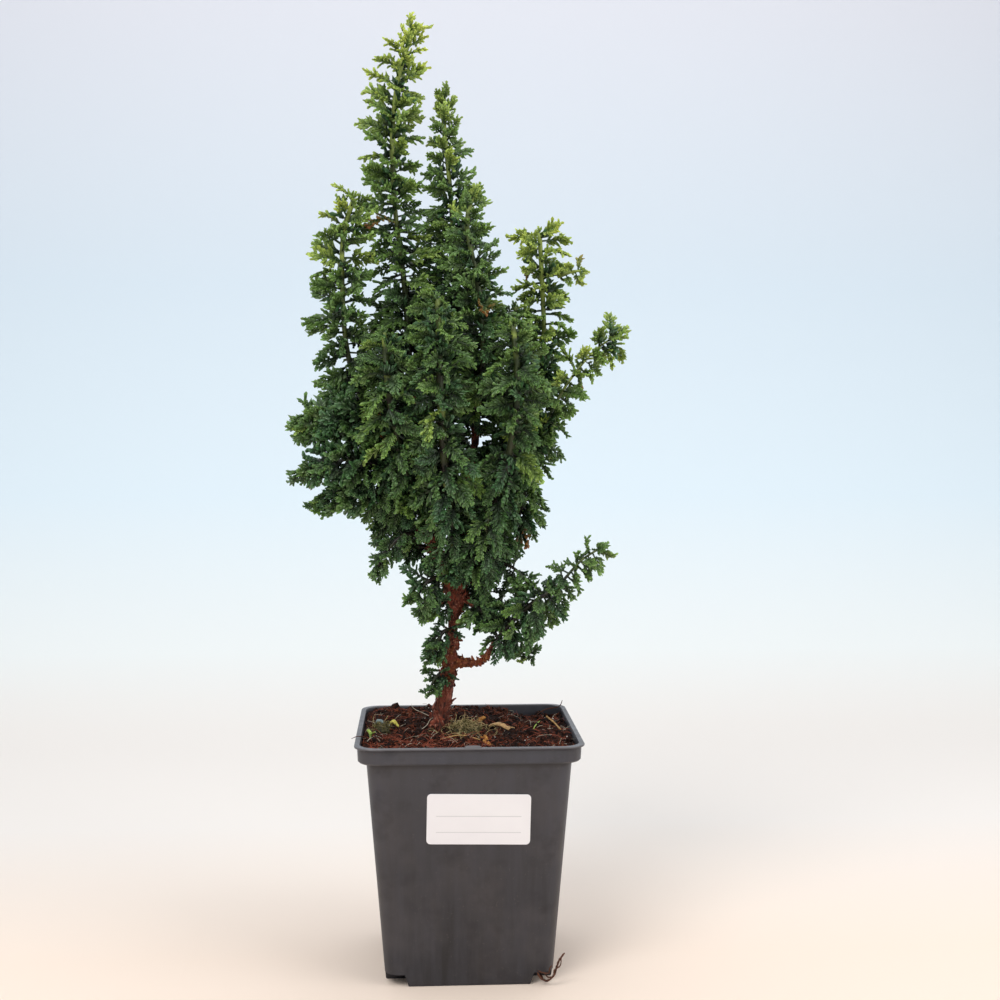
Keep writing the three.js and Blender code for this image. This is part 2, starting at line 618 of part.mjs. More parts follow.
function edgeCrosses([from, to], [a, b, c]) {
  const ray = new THREE.Ray(from, to.clone().sub(from).normalize());
  const hit = ray.intersectTriangle(a, b, c, false, new THREE.Vector3());
  return hit !== null && hit.distanceTo(from) <= from.distanceTo(to);
}

// Whether two triangles cross. Neighbours that share a corner may touch there and nowhere else.
function cross(first, second) {
  const shared = first.filter((corner) => second.includes(corner));
  if (shared.length > 1) return false;
  const edges = (corners) => corners.map((corner, k) => [corner, corners[(k + 1) % 3]])
    .filter((edge) => !edge.some((corner) => shared.includes(corner)));
  return edges(first).some((edge) => edgeCrosses(edge, second))
    || edges(second).some((edge) => edgeCrosses(edge, first));
}

function crossesItself(patch) {
  return patch.some((first, k) => patch.slice(k + 1).some((second) => cross(first, second)));
}

// Puts a patch in place of the one at a peak, if it crosses nothing and its room is free of others.
function settle(owner, core, row, side, patch, room) {
  const key = `${row},${side}`;
  const old = core.patches.get(key);
  old.forEach((entry) => { entry.lifted = true; });
  const crossing = patch.some((corners) => near(new THREE.Box3().setFromPoints(corners))
    .some((entry) => cross(corners, entry.corners)));
  const crowded = !crossing && room.some(({ center, radius }) => {
    const reach = radius + GAP;
    const span = new THREE.Vector3(2 * reach, 2 * reach, 2 * reach);
    return near(new THREE.Box3().setFromCenterAndSize(center, span))
      .some((entry) => entry.owner !== owner && distanceTo(center, entry.corners) < reach);
  });
  if (crossing || crowded) {
    old.forEach((entry) => { entry.lifted = false; });
    return false;
  }
  core.patches.set(key, lay(owner, patch));
  return true;
}

function distanceTo(point, corners) {
  return new THREE.Triangle(...corners).closestPointToPoint(point, new THREE.Vector3()).distanceTo(point);
}

// ---- tree ------------------------------------------------------------------------------------

// Beads stand for what is already placed, so that nothing grows through its neighbour.
const beads = [];

// A limb tapers, and its bark stands out in uneven ridges.
function limbRadius({ radius, bark, sides }) {
  return (row, side, share) => {
    const angle = (side / sides) * 2 * Math.PI;
    const ridges = 1 + bark * Math.sin(3 * angle + 9 * share) * Math.cos(5 * angle - 23 * share);
    return THREE.MathUtils.lerp(radius[0], radius[1], share ** TRUNK_TAPER) * ridges;
  };
}

const stems = STEMS.map((stem) => {
  const curve = curveThrough(stem.line);
  const start = STUB / curve.getLength();
  return { ...stem, curve, start, leafy: start + GAP / curve.getLength() };
});

function makeTrunk() {
  const limbs = LIMBS.map((limb) => {
    const curve = curveThrough(limb.line);
    const count = Math.ceil(curve.getLength() / BEAD_STEP);
    for (let i = 0; i <= count; i += 1) {
      const radius = THREE.MathUtils.lerp(...limb.radius, i / count) * (1 + limb.bark);
      beads.push({ owner: 'trunk', centre: curve.getPointAt(i / count), radius });
    }
    return tube(curve, evenRows(limb.steps), limb.sides, limbRadius(limb));
  });
  const stubs = stems.map(({ curve, start, core }) => {
    beads.push({ owner: 'trunk', centre: curve.getPointAt(start * 0.6), radius: STUB_RADIUS });
    const ends = [STUB_RADIUS * 1.25, Math.min(STUB_RADIUS, core[0])];
    return tube(curve, evenRows(1, 0, start), 4, (row) => ends[row]);
  });
  return mainBody(joined([...limbs, ...stubs]));
}

function layWood(solid) {
  const { position } = toGeometry(solid).toNonIndexed().attributes;
  const corners = Array.from({ length: position.count }, (_, i) => (
    new THREE.Vector3().fromBufferAttribute(position, i)
  ));
  lay('trunk', Array.from({ length: position.count / 3 }, (_, i) => corners.slice(i * 3, i * 3 + 3)));
}

// First every stem keeps its own line free, then each core swells as far as its neighbours let it.
function markStemLines() {
  for (const stem of stems) {
    const count = Math.ceil(stem.curve.getLength() / BEAD_STEP);
    for (let i = 0; i <= count; i += 1) {
      const share = THREE.MathUtils.lerp(stem.leafy, 1, i / count);
      const centre = stem.curve.getPointAt(share);
      beads.push({ owner: stem.name, centre, radius: LINE_RADIUS, line: true });
    }
  }
}

// How far a core may swell at a point: half way to another stem's line, and up to anything else.
function coreRoom(owner, centre) {
  let room = Infinity;
  for (const bead of beads) {
    const distance = bead.centre.distanceTo(centre);
    if (bead.owner !== owner) room = Math.min(room, bead.line ? distance / 2 : distance - bead.radius);
  }
  return room - GAP;
}

// The core of a leafy stem: its rows from the stub to the tip, and its radius at each.
function planCore(stem) {
  const length = stem.curve.getLength() * (1 - stem.leafy);
  const places = [0];
  while (places.at(-1) < 1) {
    const step = along(stem.core, places.at(-1)) > DENSE_FROM ? DENSE_ROW : SLIM_ROW;
    places.push(Math.min(1, places.at(-1) + step / length));
  }
  const rows = places.map((place) => THREE.MathUtils.lerp(stem.leafy, 1, place));
  const radii = places.map((place, row) => {
    const limit = coreRoom(stem.name, stem.curve.getPointAt(rows[row])) * CORE_FILL;
    const wanted = Math.min(along(stem.core, place), limit);
    return Math.max(LINE_RADIUS * 0.6, row === 0 ? Math.min(wanted, STUB_RADIUS) : wanted);
  });
  rows.forEach((share, row) => {
    beads.push({ owner: stem.name, centre: stem.curve.getPointAt(share), radius: radii[row] });
  });
  const sides = Math.max(...radii) > DENSE_FROM ? DENSE_SIDES : SLIM_SIDES;
  const frames = stem.curve.computeFrenetFrames(FRAME_STEPS);
  const spokesOf = rows.map((share) => spokes(stem.curve, frames, share, sides));
  const rings = spokesOf.map((ring, row) => ring.map(
    (spoke) => stem.curve.getPointAt(rows[row]).addScaledVector(spoke, radii[row]),
  ));
  const start = stem.curve.getPointAt(rows[0]);
  const end = stem.curve.getPointAt(1).addScaledVector(stem.curve.getTangentAt(1), TIP_LENGTH);
  const core = { places, rows, radii, rings, start, end, spokes: spokesOf, patches: new Map() };
  for (const [row, side] of peaksOf(rings)) {
    const patch = peakPatch(rings[row][side], diamond(core, row, side));
    core.patches.set(`${row},${side}`, lay(stem.name, patch));
  }
  return core;
}

// The way a tuft or a fan stands out of its peak, tipped up towards the stem's end.
function outwardAt(stem, core, row, side, random) {
  const lift = (along(stem.lift, core.places[row]) + LIFT_RANGE * (random() - 0.5)) * DEGREE;
  const tangent = stem.curve.getTangentAt(core.rows[row]);
  return core.spokes[row][side].clone().multiplyScalar(Math.cos(lift))
    .addScaledVector(tangent, Math.sin(lift));
}

// A fan in place of a peak: its own triangles, and eight that join its base to the points round it.
function fanPatch({ points, triangles, base }, frame, ring) {
  const spots = points.map((point) => point.clone().applyMatrix4(frame));
  const patch = triangles.map((corners) => corners.map((corner) => spots[corner]));
  ring.forEach((corner, k) => {
    const after = ring[(k + 1) % ring.length];
    const [root, nextRoot] = [spots[base[k]], spots[base[(k + 1) % ring.length]]];
    patch.push([corner, after, nextRoot], [corner, nextRoot, root]);
  });
  return patch;
}

function settleFan(stem, core, [row, side], outward, length, roll) {
  const kind = length < LARGE_FROM ? SMALL : LARGE;
  const tangent = stem.curve.getTangentAt(core.rows[row]);
  const across = new THREE.Vector3().crossVectors(outward, tangent).normalize()
    .applyAxisAngle(outward, roll);
  const normal = new THREE.Vector3().crossVectors(across, outward);
  const root = core.rings[row][side].clone().addScaledVector(outward, -SHOULDERS[1] * length);
  const axes = [across, outward, normal].map((axis) => axis.clone().multiplyScalar(length));
  const frame = new THREE.Matrix4().makeBasis(...axes).setPosition(root);
  const room = kind.beads.map((bead) => bead.clone().applyMatrix4(frame));
  const patch = fanPatch(kind, frame, diamond(core, row, side));
  return length > FAN_LEAST && !crossesItself(patch) && settle(stem.name, core, row, side, patch, room);
}

function growFans(stem, core, random) {
  for (const [row, side] of peaksOf(core.rings)) {
    const draw = random();
    const outward = outwardAt(stem, core, row, side, random);
    const length = along(stem.reach, core.places[row]) * (0.95 + 0.25 * random()) - core.radii[row];
    const roll = (random() - 0.5) * ROLL_RANGE;
    if (row > 0 && row < core.rings.length - 1 && draw < stem.fans) {
      FAN_TRIES.some((share) => settleFan(stem, core, [row, side], outward, length * share, roll));
    }
  }
}

// A tuft is drawn out of every free peak, as far as it stays clear of its neighbours.
function drawTufts(stem, core, random) {
  for (const [row, side] of peaksOf(core.rings)) {
    const outward = outwardAt(stem, core, row, side, random);
    const wanted = along(stem.reach, core.places[row]) * (0.8 + 0.3 * random()) - core.radii[row];
    if (row > 0 && wanted > TUFT_LEAST && core.patches.get(`${row},${side}`).length === 4) {
      TUFT_TRIES.some((share) => {
        const tip = core.rings[row][side].clone().addScaledVector(outward, wanted * share);
        const room = TUFT_BEADS.map(([out, radius]) => new THREE.Sphere(
          core.rings[row][side].clone().addScaledVector(outward, wanted * share * out), radius,
        ));
        return settle(stem.name, core, row, side, peakPatch(tip, diamond(core, row, side)), room);
      });
    }
  }
}

// ---- what lies on the soil -------------------------------------------------------------------

// A piece is cut to the soil that it lies on, a gap above it.
function laidOn(soil, solid) {
  return mainBody(solid.subtract(soil.translate([0, 0, GAP])));
}

function mossClump(x, y, width, depth, height, seed) {
  const random = seededRandom(seed);
  const dome = welded(new THREE.IcosahedronGeometry(1, 2));
  const position = dome.attributes.position;
  for (let i = 0; i < position.count; i += 1) {
    const swell = 0.86 + 0.28 * random();
    position.setXYZ(
      i, x + position.getX(i) * width * swell, y + position.getY(i) * depth * swell,
      soilHeight(x, y) + position.getZ(i) * height * swell,
    );
  }
  return toSolid(dome);
}

// A stalk along points of [x, y, height above the soil]; girths are its half widths, side by side.
function stalk(line, girths, steps) {
  const curve = curveThrough(line.map(([x, y, lift]) => [x, y, soilHeight(x, y) + lift]));
  return tube(curve, evenRows(steps), girths.length, (row, side) => girths[side]);
}

function makeSeedling([x, y]) {
  const stem = stalk([[x, y, 0.5], [x, y, 2.5], [x + 0.5, y, 4.5]], [0.5, 0.5, 0.5, 0.5], 2);
  const leaves = [1, -1].map((hand) => stalk(
    [[x + 0.5, y, 4], [x + hand * 1.2 + 0.5, y - hand * 1.2, 5.2], [x + hand * 2 + 0.5, y - hand * 2.4, 5.3]],
    [0.4, 1, 0.4, 1], 3,
  ));
  return joined([stem, ...leaves]);
}

function makeDrainRoot() {
  const main = curveThrough(DRAIN_ROOT);
  const feeder = curveThrough(DRAIN_FEEDER);
  const solids = [main, feeder].map((curve) => tube(curve, evenRows(8), 4, () => DRAIN_ROOT_RADIUS));
  return joined(solids);
}

// ---- assembly --------------------------------------------------------------------------------

const bonsai = new THREE.Group();
const soil = makeSoil();
const trunk = makeTrunk();
markStemLines();
layWood(trunk);
const cores = stems.map(planCore);
stems.forEach((stem, index) => growFans(stem, cores[index], seededRandom(9001 + index * 613)));
stems.forEach((stem, index) => drawTufts(stem, cores[index], seededRandom(501 + index * 97)));

bonsai.add(piece('pot', makePot(), POT_PLASTIC));
bonsai.add(piece('label', makeLabel(), LABEL_FILM));
bonsai.add(piece('soil', soil, PEAT));
bonsai.add(piece('trunk', trunk, BARK));
stems.forEach((stem, index) => {
  const patches = [...cores[index].patches.values()].flat();
  const solid = solidFrom(patches.map(({ corners }) => corners));
  bonsai.add(piece(stem.name, solid, FOLIAGE));
});

bonsai.add(piece('moss_clump', laidOn(soil, mossClump(-0.8, -5, 7.8, 10.5, 4.8, 71)), MOSS));
bonsai.add(piece('moss_lump', laidOn(soil, mossClump(-43, 0, 4.2, 5.5, 3.2, 83)), MOSS));
bonsai.add(piece('bark_chip', laidOn(soil, stalk(BARK_CHIP, [0.5, 2.4, 0.5, 2.4], 5)), DRY_STALK));
bonsai.add(piece('tan_twig', laidOn(soil, stalk(TAN_TWIG, [0.6, 0.6, 0.6, 0.6], 4)), DRY_STALK));
bonsai.add(piece('thin_twig', laidOn(soil, stalk(THIN_TWIG, [0.5, 0.5, 0.5, 0.5], 6)), DRY_STALK));
bonsai.add(piece('seedling', laidOn(soil, makeSeedling(SEEDLING_PLACE)), SEEDLING));
bonsai.add(piece('drain_root', makeDrainRoot(), ROOT_SKIN));

export default bonsai;
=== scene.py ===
import math
import random

import bmesh
import bpy
import numpy as np
from mathutils import Matrix, Vector, noise


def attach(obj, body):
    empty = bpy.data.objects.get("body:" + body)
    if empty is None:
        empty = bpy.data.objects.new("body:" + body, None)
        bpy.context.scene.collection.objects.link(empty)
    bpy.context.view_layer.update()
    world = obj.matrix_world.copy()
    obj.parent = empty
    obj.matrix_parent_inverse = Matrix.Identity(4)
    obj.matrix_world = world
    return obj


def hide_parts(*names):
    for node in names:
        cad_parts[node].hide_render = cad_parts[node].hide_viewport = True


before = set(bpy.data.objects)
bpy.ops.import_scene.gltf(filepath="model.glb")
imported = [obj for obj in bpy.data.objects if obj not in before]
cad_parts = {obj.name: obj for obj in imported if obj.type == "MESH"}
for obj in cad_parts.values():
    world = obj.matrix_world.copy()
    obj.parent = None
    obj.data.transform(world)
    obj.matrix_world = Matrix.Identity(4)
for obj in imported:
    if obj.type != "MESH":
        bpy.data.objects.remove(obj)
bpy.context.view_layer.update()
MM = 0.001
UP = Vector((0, 0, 1))

# ---- sizes -----------------------------------------------------------------------------------

POT_HEIGHT = 120
LIP_HALF = 55.5
LIP_THICKNESS = 0.9
BAND_HALF = 53.8
SHOULDER_HALF = 49.8
SHOULDER_Z = 111.6
BASE_HALF = 41
BASE_ROUNDING = 0.8
WALL = 1.3
FLOOR = 1.6
CORNER_SHARE = 0.18
FOOT_NOTCH = 11.7
FOOT_NOTCH_SLANT = 2.2
FOOT_NOTCH_HEIGHT = 6
DRAIN_RADIUS = 2.2
DRAIN_OFFSET = 35
TAB_CENTRE = (1.2, -LIP_HALF + 1.4, POT_HEIGHT - 0.2)
TAB_SIZE = (4.4, 1.0, 1.3)  # half of the bump's length, width and height

LABEL_SIZE = (50, 25)
LABEL_CORNER = 2
LABEL_CENTRE = (4.2, 83.9)
LABEL_TURN = math.radians(-1.1)
LABEL_THICKNESS = 0.3
LABEL_LINES = (1.5, -6.5)  # heights of its ruled lines
GAP = 0.3  # between the soil and the pot
SLANT_GAP = 0.36  # the same beside the slanted wall, measured level

SOIL_LEVEL = 116.4
SOIL_RISE = 2.8  # from the front edge to the back edge
SOIL_DIP = 5.5  # at the right back corner
SOIL_STEP = 1.15  # of the grid of its top

STUB = 9  # bare wood before the leaves begin
STEM_STEP = 2.5
SPRAY_PITCH = (1.3, 1.5, 1.4)  # along a dense stem, from spray to spray, at a reach of 8, 14 and 20
OPEN_PITCH = 1.2  # how much farther apart they stand where the stem shows
INNER_SHARE = 0.44  # sprays that also have a short dark one beside them, close to the stem
GOLDEN_TURN = math.radians(137.5)
SHOOT_STUB = 2  # on the small shoots the leaves begin closer to the trunk
# How much farther apart than elsewhere the sprays of some stems stand.
PITCH_SHARE = {
    "branch_left": 0.72, "shoot": 0.72, "branch_low_right": 0.85, "spray_low": 0.9, "spray_hanging": 0.85,
    "leader_back_": 1.38, "leader_front": 1.08,
}
# Where no spray hangs in front of the dark inside or the trunk: x, z and radius.
WINDOWS = [(5, 274, 11), (13, 266, 8), (-3, 190, 7), (-3, 217, 5), (-12, 231, 4)]


def paint(code):
    """A linear colour from a hex code."""
    parts = [int(code[k:k + 2], 16) / 255 for k in (1, 3, 5)]
    return tuple(c / 12.92 if c <= 0.04045 else ((c + 0.055) / 1.055) ** 2.4 for c in parts) + (1,)


# Leafy stems, as the solids have them: how far the sprays reach, the core's radius and how far the
# sprays tip up in degrees, at even steps from the stub to the tip; and the line in mm.
FULL_LEADER = {"reach": [16, 21, 22, 20, 13], "core": [6, 13, 14, 10, 3], "lift": [0, 5, 15, 25, 40]}
WIDE_SPRAY = {"reach": [14, 18, 19, 15], "core": [5, 9, 9, 5]}
STEMS = {
    "leader_main": {
        "reach": [24, 22, 20, 18, 18, 17, 9], "core": [8, 8, 5, 1.6, 1.4, 1, 0.9],
        "lift": [15, 20, 25, 30, 32, 32, 60],
        "line": [(-28, 6, 294), (-31, 5, 342), (-36, 2, 385), (-37, 2, 420), (-33, 2, 452), (-26, 1, 472)],
    },
    "leader_back": {
        "reach": [24, 22, 20, 17, 15, 8], "core": [9, 9, 6, 1.6, 1.1, 0.9], "lift": [10, 20, 25, 30, 32, 60],
        "line": [(3, 10.5, 279), (-1, 12, 317), (-5, 9, 352), (-8, 8, 395), (-11, 9, 428), (-11, 9, 441)],
    },
    "leader_centre": {
        "reach": [18, 21, 20, 16, 8], "core": [5, 8, 6, 1.6, 0.9], "lift": [10, 20, 30, 32, 60],
        "line": [(5, 7, 264), (6, -7, 284), (8, -14, 314), (5, -16, 345), (0, -16, 372), (3, -16, 389)],
    },
    "leader_left": {
        "reach": [16, 20, 22, 19, 18, 13], "core": [5, 8, 6, 1.6, 1.3, 0.9], "lift": [0, 10, 20, 28, 30, 40],
        "line": [
            (-20, 2, 240), (-34, 0, 254), (-48, -3, 276), (-59, -7, 307), (-62, -7, 342), (-61, -7, 370),
            (-56, -7, 386),
        ],
    },
    "leader_right": {
        "reach": [16, 18, 18, 17, 15, 17], "core": [5, 8, 5, 1.5, 1.2, 0.9], "lift": [0, 10, 25, 30, 25, 20],
        "line": [(2, 6, 247), (18, 9, 257), (33, 9, 276), (40, 10, 312), (39.5, 10, 345), (38, 10, 372)],
    },
    "branch_right": {
        "reach": [15, 18, 18, 14, 13, 15], "core": [5, 8, 6, 1.5, 1.2, 0.9], "lift": [0, 10, 20, 25, 30, 20],
        "line": [(-2, 5, 226), (16, -2, 243), (36, -4, 268), (51, -1, 294), (65, 1, 311), (76, 2, 319)],
    },
    "branch_low_right": {
        "reach": [12, 18, 18, 14, 12, 10], "core": [2.5, 6, 6, 1.5, 1, 0.8], "lift": [10, 5, 10, 20, 25, 25],
        "line": [(9, -8, 156), (20, -13, 172), (32, -16, 184), (45, -17, 193), (57, -18, 206), (66, -19, 212)],
    },
    "branch_left_upper": {
        "reach": [16, 20, 20, 16, 9], "core": [5, 9, 7, 2, 1], "lift": [0, 10, 25, 45, 55],
        "line": [(-23, 3, 262), (-41, -10, 272), (-59, -16, 277), (-73, -18, 277), (-83, -17, 273)],
    },
    "branch_left_middle": {
        "reach": [15, 18, 18, 15, 9], "core": [4, 8, 7, 2, 1], "lift": [0, 10, 25, 45, 55],
        "line": [(-20, 1, 238), (-37, -14, 250), (-54, -19, 256), (-69, -20, 255), (-81, -19, 250)],
    },
    "branch_left_lower": {
        "reach": [13, 16, 16, 13, 8], "core": [3, 6, 6, 2, 1], "lift": [0, 5, 20, 45, 55],
        "line": [(-18, -3, 224), (-34, -9, 236), (-50, -12, 239), (-64, -14, 238), (-74, -15, 234)],
    },
    "branch_left_back": {
        "reach": [16, 19, 18, 15, 9], "core": [5, 10, 8, 3, 1], "lift": [0, 10, 20, 40, 50],
        "line": [(-23, 3, 263), (-42, 19, 277), (-60, 28, 281), (-76, 30, 276), (-84, 29, 269)],
    },
    "branch_left_low": {
        "reach": [10, 11, 10, 7], "core": [2, 1.6, 1.2, 0.8], "lift": [0, 10, 30, 45],
        "line": [(-18, -3, 215), (-30, -11, 219), (-40, -14, 211), (-46, -14, 200)],
    },
    "spray_low_middle": {
        "reach": [13, 16, 15, 9], "core": [2, 3, 2.5, 1], "lift": [0, 5, 15, 30],
        "line": [(-7, -1, 191), (-14, -9, 197), (-20, -13, 195), (-26, -15, 187)],
    },
    "spray_hanging": {
        "reach": [12, 14, 13, 8], "core": [3, 4, 3, 1], "lift": [0, -5, -10, -20],
        "line": [(-3, 2, 200), (8, 4, 190), (18, 5, 178), (27, 3, 164), (33, 0, 154)],
    },
    "leader_front": {
        **FULL_LEADER,
        "line": [(-10, -3, 199), (-8, -20, 222), (-12, -31, 258), (-14, -34, 300), (-15, -32, 334)],
    },
    "leader_front_right": {
        **FULL_LEADER,
        "line": [(-2, 4, 214), (12, -14, 232), (21, -25, 262), (24, -28, 296), (22, -27, 322)],
    },
    "leader_front_left": {
        "reach": [16, 20, 21, 20, 13], "core": [6, 11, 13, 10, 3], "lift": [0, 5, 15, 25, 40],
        "line": [(-19, -1, 230), (-32, -24, 256), (-38, -31, 286), (-41, -28, 318)],
    },
    "leader_back_middle": {
        "reach": [16, 21, 22, 20, 16, 12], "core": [6, 13, 14, 9, 3, 1.4], "lift": [0, 5, 15, 25, 32, 40],
        "line": [(-2, 5, 219), (-4, 23, 240), (-8, 34, 276), (-10, 36, 320), (-13, 31, 355), (-14, 26, 380)],
    },
    "leader_back_right": {
        **FULL_LEADER,
        "line": [(0, 6, 239), (17, 20, 256), (29, 31, 286), (30, 32, 322), (27, 32, 336)],
    },
    "leader_back_left": {
        **FULL_LEADER,
        "line": [(-21, 2, 247), (-33, 20, 268), (-40, 30, 300), (-41, 29, 336)],
    },
    "spray_right": {
        **WIDE_SPRAY, "lift": [0, 0, 10, 20],
        "line": [(-2, 4, 210), (13, 2, 214), (26, 0, 226), (31, -3, 247)],
    },
    "spray_low_front": {
        **WIDE_SPRAY, "lift": [0, 0, 5, 10],
        "line": [(-4, 0, 194), (2, -13, 200), (7, -21, 212), (10, -27, 228)],
    },
    "spray_low_left": {
        **WIDE_SPRAY, "lift": [0, 0, 0, 5],
        "line": [(-15, -4, 210), (-26, 7, 213), (-36, 13, 224), (-46, 15, 236)],
    },
    "spray_low_back": {
        **WIDE_SPRAY, "lift": [0, 0, 5, 10],
        "line": [(-5, 0, 186), (0, 15, 197), (5, 26, 211), (8, 31, 232)],
    },
    "spray_right_upper": {
        "reach": [7, 9, 9, 8], "core": [1, 1, 0.9, 0.8], "lift": [10, 10, 10, 10],
        "line": [(40.5, 10, 348), (48, 6, 350), (55, 4, 352), (59, 3, 352)],
    },
    "spray_low_right": {
        "reach": [12, 13, 13, 10], "core": [2.5, 3, 2.5, 1], "lift": [0, 0, -10, -10],
        "line": [(-3, 3, 203), (12, -5, 205), (24, -9, 201), (31, -10, 193)],
    },
    "shoot_right": {
        "reach": [9, 12, 9], "core": [1.1, 1, 0.8], "lift": [0, -5, -10],
        "line": [(-3, -2, 186), (5, -7, 182), (11, -9, 173)],
    },
    "shoot_upper": {
        "reach": [10, 12, 11, 8], "core": [1.1, 1.1, 1, 0.8], "lift": [0, 10, 20, 30],
        "line": [(-6.5, 0, 181), (-13, -6, 185), (-18, -8, 183), (-22, -9, 178)],
    },
    "shoot_middle": {
        "reach": [8, 10, 10, 8], "core": [1.1, 1, 1, 0.8], "lift": [0, 10, 20, 30],
        "line": [(-7, -1, 168), (-11, -8, 170), (-15, -11, 165), (-18, -12, 157)],
    },
    "shoot_low": {
        "reach": [8, 9, 6], "core": [1, 0.9, 0.8], "lift": [0, 0, -5],
        "line": [(-9.5, 2, 146), (-13, -5, 148), (-17, -7, 144), (-19, -8, 139)],
    },
}

# ---- nodes -----------------------------------------------------------------------------------


class Tree:
    """Adds nodes to a tree. Inputs go by name or number, and take values, nodes or sockets."""

    def __init__(self, tree):
        self.tree = tree
        tree.nodes.clear()

    def add(self, kind, inputs=(), **settings):
        node = self.tree.nodes.new(kind)
        for key, value in settings.items():
            setattr(node, key, value)
        for key, value in dict(inputs).items():
            if isinstance(value, bpy.types.Node):
                value = value.outputs[0]
            if isinstance(value, bpy.types.NodeSocket):
                self.tree.links.new(value, node.inputs[key])
            else:
                node.inputs[key].default_value = value
        return node


NOISE_ROUGHNESS = 0.6


class Finish(Tree):
    """A material under way, with the few kinds of node that the finishes need."""

    def __init__(self, name, roughness):
        self.material = bpy.data.materials.new(name)
        self.material.use_nodes = True
        super().__init__(self.material.node_tree)
        self.shader = self.add("ShaderNodeBsdfPrincipled", {"Roughness": roughness})
        self.add("ShaderNodeOutputMaterial", {"Surface": self.shader})
        self.place = self.add("ShaderNodeTexCoord").outputs["Object"]

    def noise(self, size, detail=3, stretch=(1, 1, 1)):
        """Noise whose features are about size mm across."""
        mapped = self.add("ShaderNodeMapping", {"Vector": self.place, "Scale": stretch})
        texture = self.add("ShaderNodeTexNoise", {
            "Vector": mapped, "Scale": 1 / (size * MM), "Detail": detail, "Roughness": NOISE_ROUGHNESS,
        })
        return texture.outputs["Fac"]

    def value(self, name):
        return self.add("ShaderNodeAttribute", attribute_name=name).outputs["Fac"]

    def between(self, value, low, high, start=0.0, end=1.0):
        node = self.add("ShaderNodeMapRange", {0: value, 1: low, 2: high, 3: start, 4: end})
        return node.outputs[0]

    def math(self, operation, a, b):
        return self.add("ShaderNodeMath", {0: a, 1: b}, operation=operation).outputs[0]

    def blend(self, share, a, b):
        node = self.add("ShaderNodeMix", {0: share, 6: a, 7: b}, data_type="RGBA")
        return node.outputs[2]

    def height(self):
        return self.add("ShaderNodeSeparateXYZ", {0: self.place}).outputs[2]

    def bump(self, height, depth):
        """Low relief, depth mm deep."""
        node = self.add("ShaderNodeBump", {"Height": height, "Distance": depth * MM, "Strength": 1})
        self.tree.links.new(node.outputs[0], self.shader.inputs["Normal"])

    def set(self, name, socket):
        self.tree.links.new(socket, self.shader.inputs[name])


def geometry_tree(name, **sockets):
    """A Geometry Nodes tree with named inputs, each given by its socket type."""
    group = bpy.data.node_groups.new(name, "GeometryNodeTree")
    group.interface.new_socket("Geometry", in_out="INPUT", socket_type="NodeSocketGeometry")
    group.interface.new_socket("Geometry", in_out="OUTPUT", socket_type="NodeSocketGeometry")
    for label, kind in sockets.items():
        group.interface.new_socket(label, in_out="INPUT", socket_type="NodeSocket" + kind)
    tree = Tree(group)
    return tree, tree.add("NodeGroupInput").outputs


def grown(name, mesh, tree, keep=(), **inputs):
    """The plain mesh that a tree grows on a mesh."""
    seed = bpy.data.objects.new(name, mesh)
    bpy.context.scene.collection.objects.link(seed)
    modifier = seed.modifiers.new("grow", "NODES")
    modifier.node_group = tree.tree
    for socket in tree.tree.interface.items_tree:
        if socket.in_out == "INPUT" and socket.name in inputs:
            modifier[socket.identifier] = inputs[socket.name]
    depsgraph = bpy.context.evaluated_depsgraph_get()
    depsgraph.update()
    plain = bpy.data.meshes.new_from_object(seed.evaluated_get(depsgraph), depsgraph=depsgraph)
    seed.modifiers.remove(modifier)
    seed.data = plain
    plain.name = name
    for attribute in [a.name for a in plain.attributes if not a.is_required and not a.is_internal]:
        if attribute not in (*keep, "material_index", "sharp_face"):
            plain.attributes.remove(plain.attributes[attribute])
    return seed


def dress(piece, slot, *nodes):
    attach(piece, "root")
    if nodes:
        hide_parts(*nodes)


# ---- meshes ----------------------------------------------------------------------------------


def mesh_of(name, points, faces=(), edges=()):
    """A mesh from points in mm."""
    mesh = bpy.data.meshes.new(name)
    mesh.from_pydata([tuple(Vector(p) * MM) for p in points], edges, faces)
    mesh.update()
    return mesh


def object_of(name, mesh, material=None, smooth=True):
    thing = bpy.data.objects.new(name, mesh)
    bpy.context.scene.collection.objects.link(thing)
    if material:
        mesh.materials.clear()
        mesh.materials.append(material)
    if smooth:
        mesh.shade_smooth()
    return thing


def coat(thing, material):
    """One smooth finish all over."""
    thing.data.materials.clear()
    thing.data.materials.append(material)
    thing.data.shade_smooth()


def store(mesh, name, values, kind="FLOAT"):
    layer = mesh.attributes.new(name, kind, "POINT")
    key = "vector" if kind == "FLOAT_VECTOR" else "value"
    layer.data.foreach_set(key, np.ravel(np.array(values, dtype=int if kind == "INT" else float)))


def merged_copy(node):
    """A copy of a solid's mesh with its loose triangles joined."""
    mesh = bmesh.new()
    mesh.from_mesh(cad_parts[node].data)
    bmesh.ops.remove_doubles(mesh, verts=mesh.verts, dist=1e-6)
    copy = bpy.data.meshes.new(node + "_copy")
    mesh.to_mesh(copy)
    mesh.free()
    return copy


def with_modifiers(thing, *modifiers):
    """Adds modifiers, given as (type, settings), and turns the result into a plain mesh."""
    for kind, settings in modifiers:
        modifier = thing.modifiers.new(kind.lower(), kind)
        for key, value in settings.items():
            setattr(modifier, key, value)
    depsgraph = bpy.context.evaluated_depsgraph_get()
    depsgraph.update()
    plain = bpy.data.meshes.new_from_object(thing.evaluated_get(depsgraph), depsgraph=depsgraph)
    thing.modifiers.clear()
    thing.data = plain


def along(values, share):
    """The value of a list spread evenly over 0..1, at a share of the way along."""
    return float(np.interp(share, np.linspace(0, 1, len(values)), values))


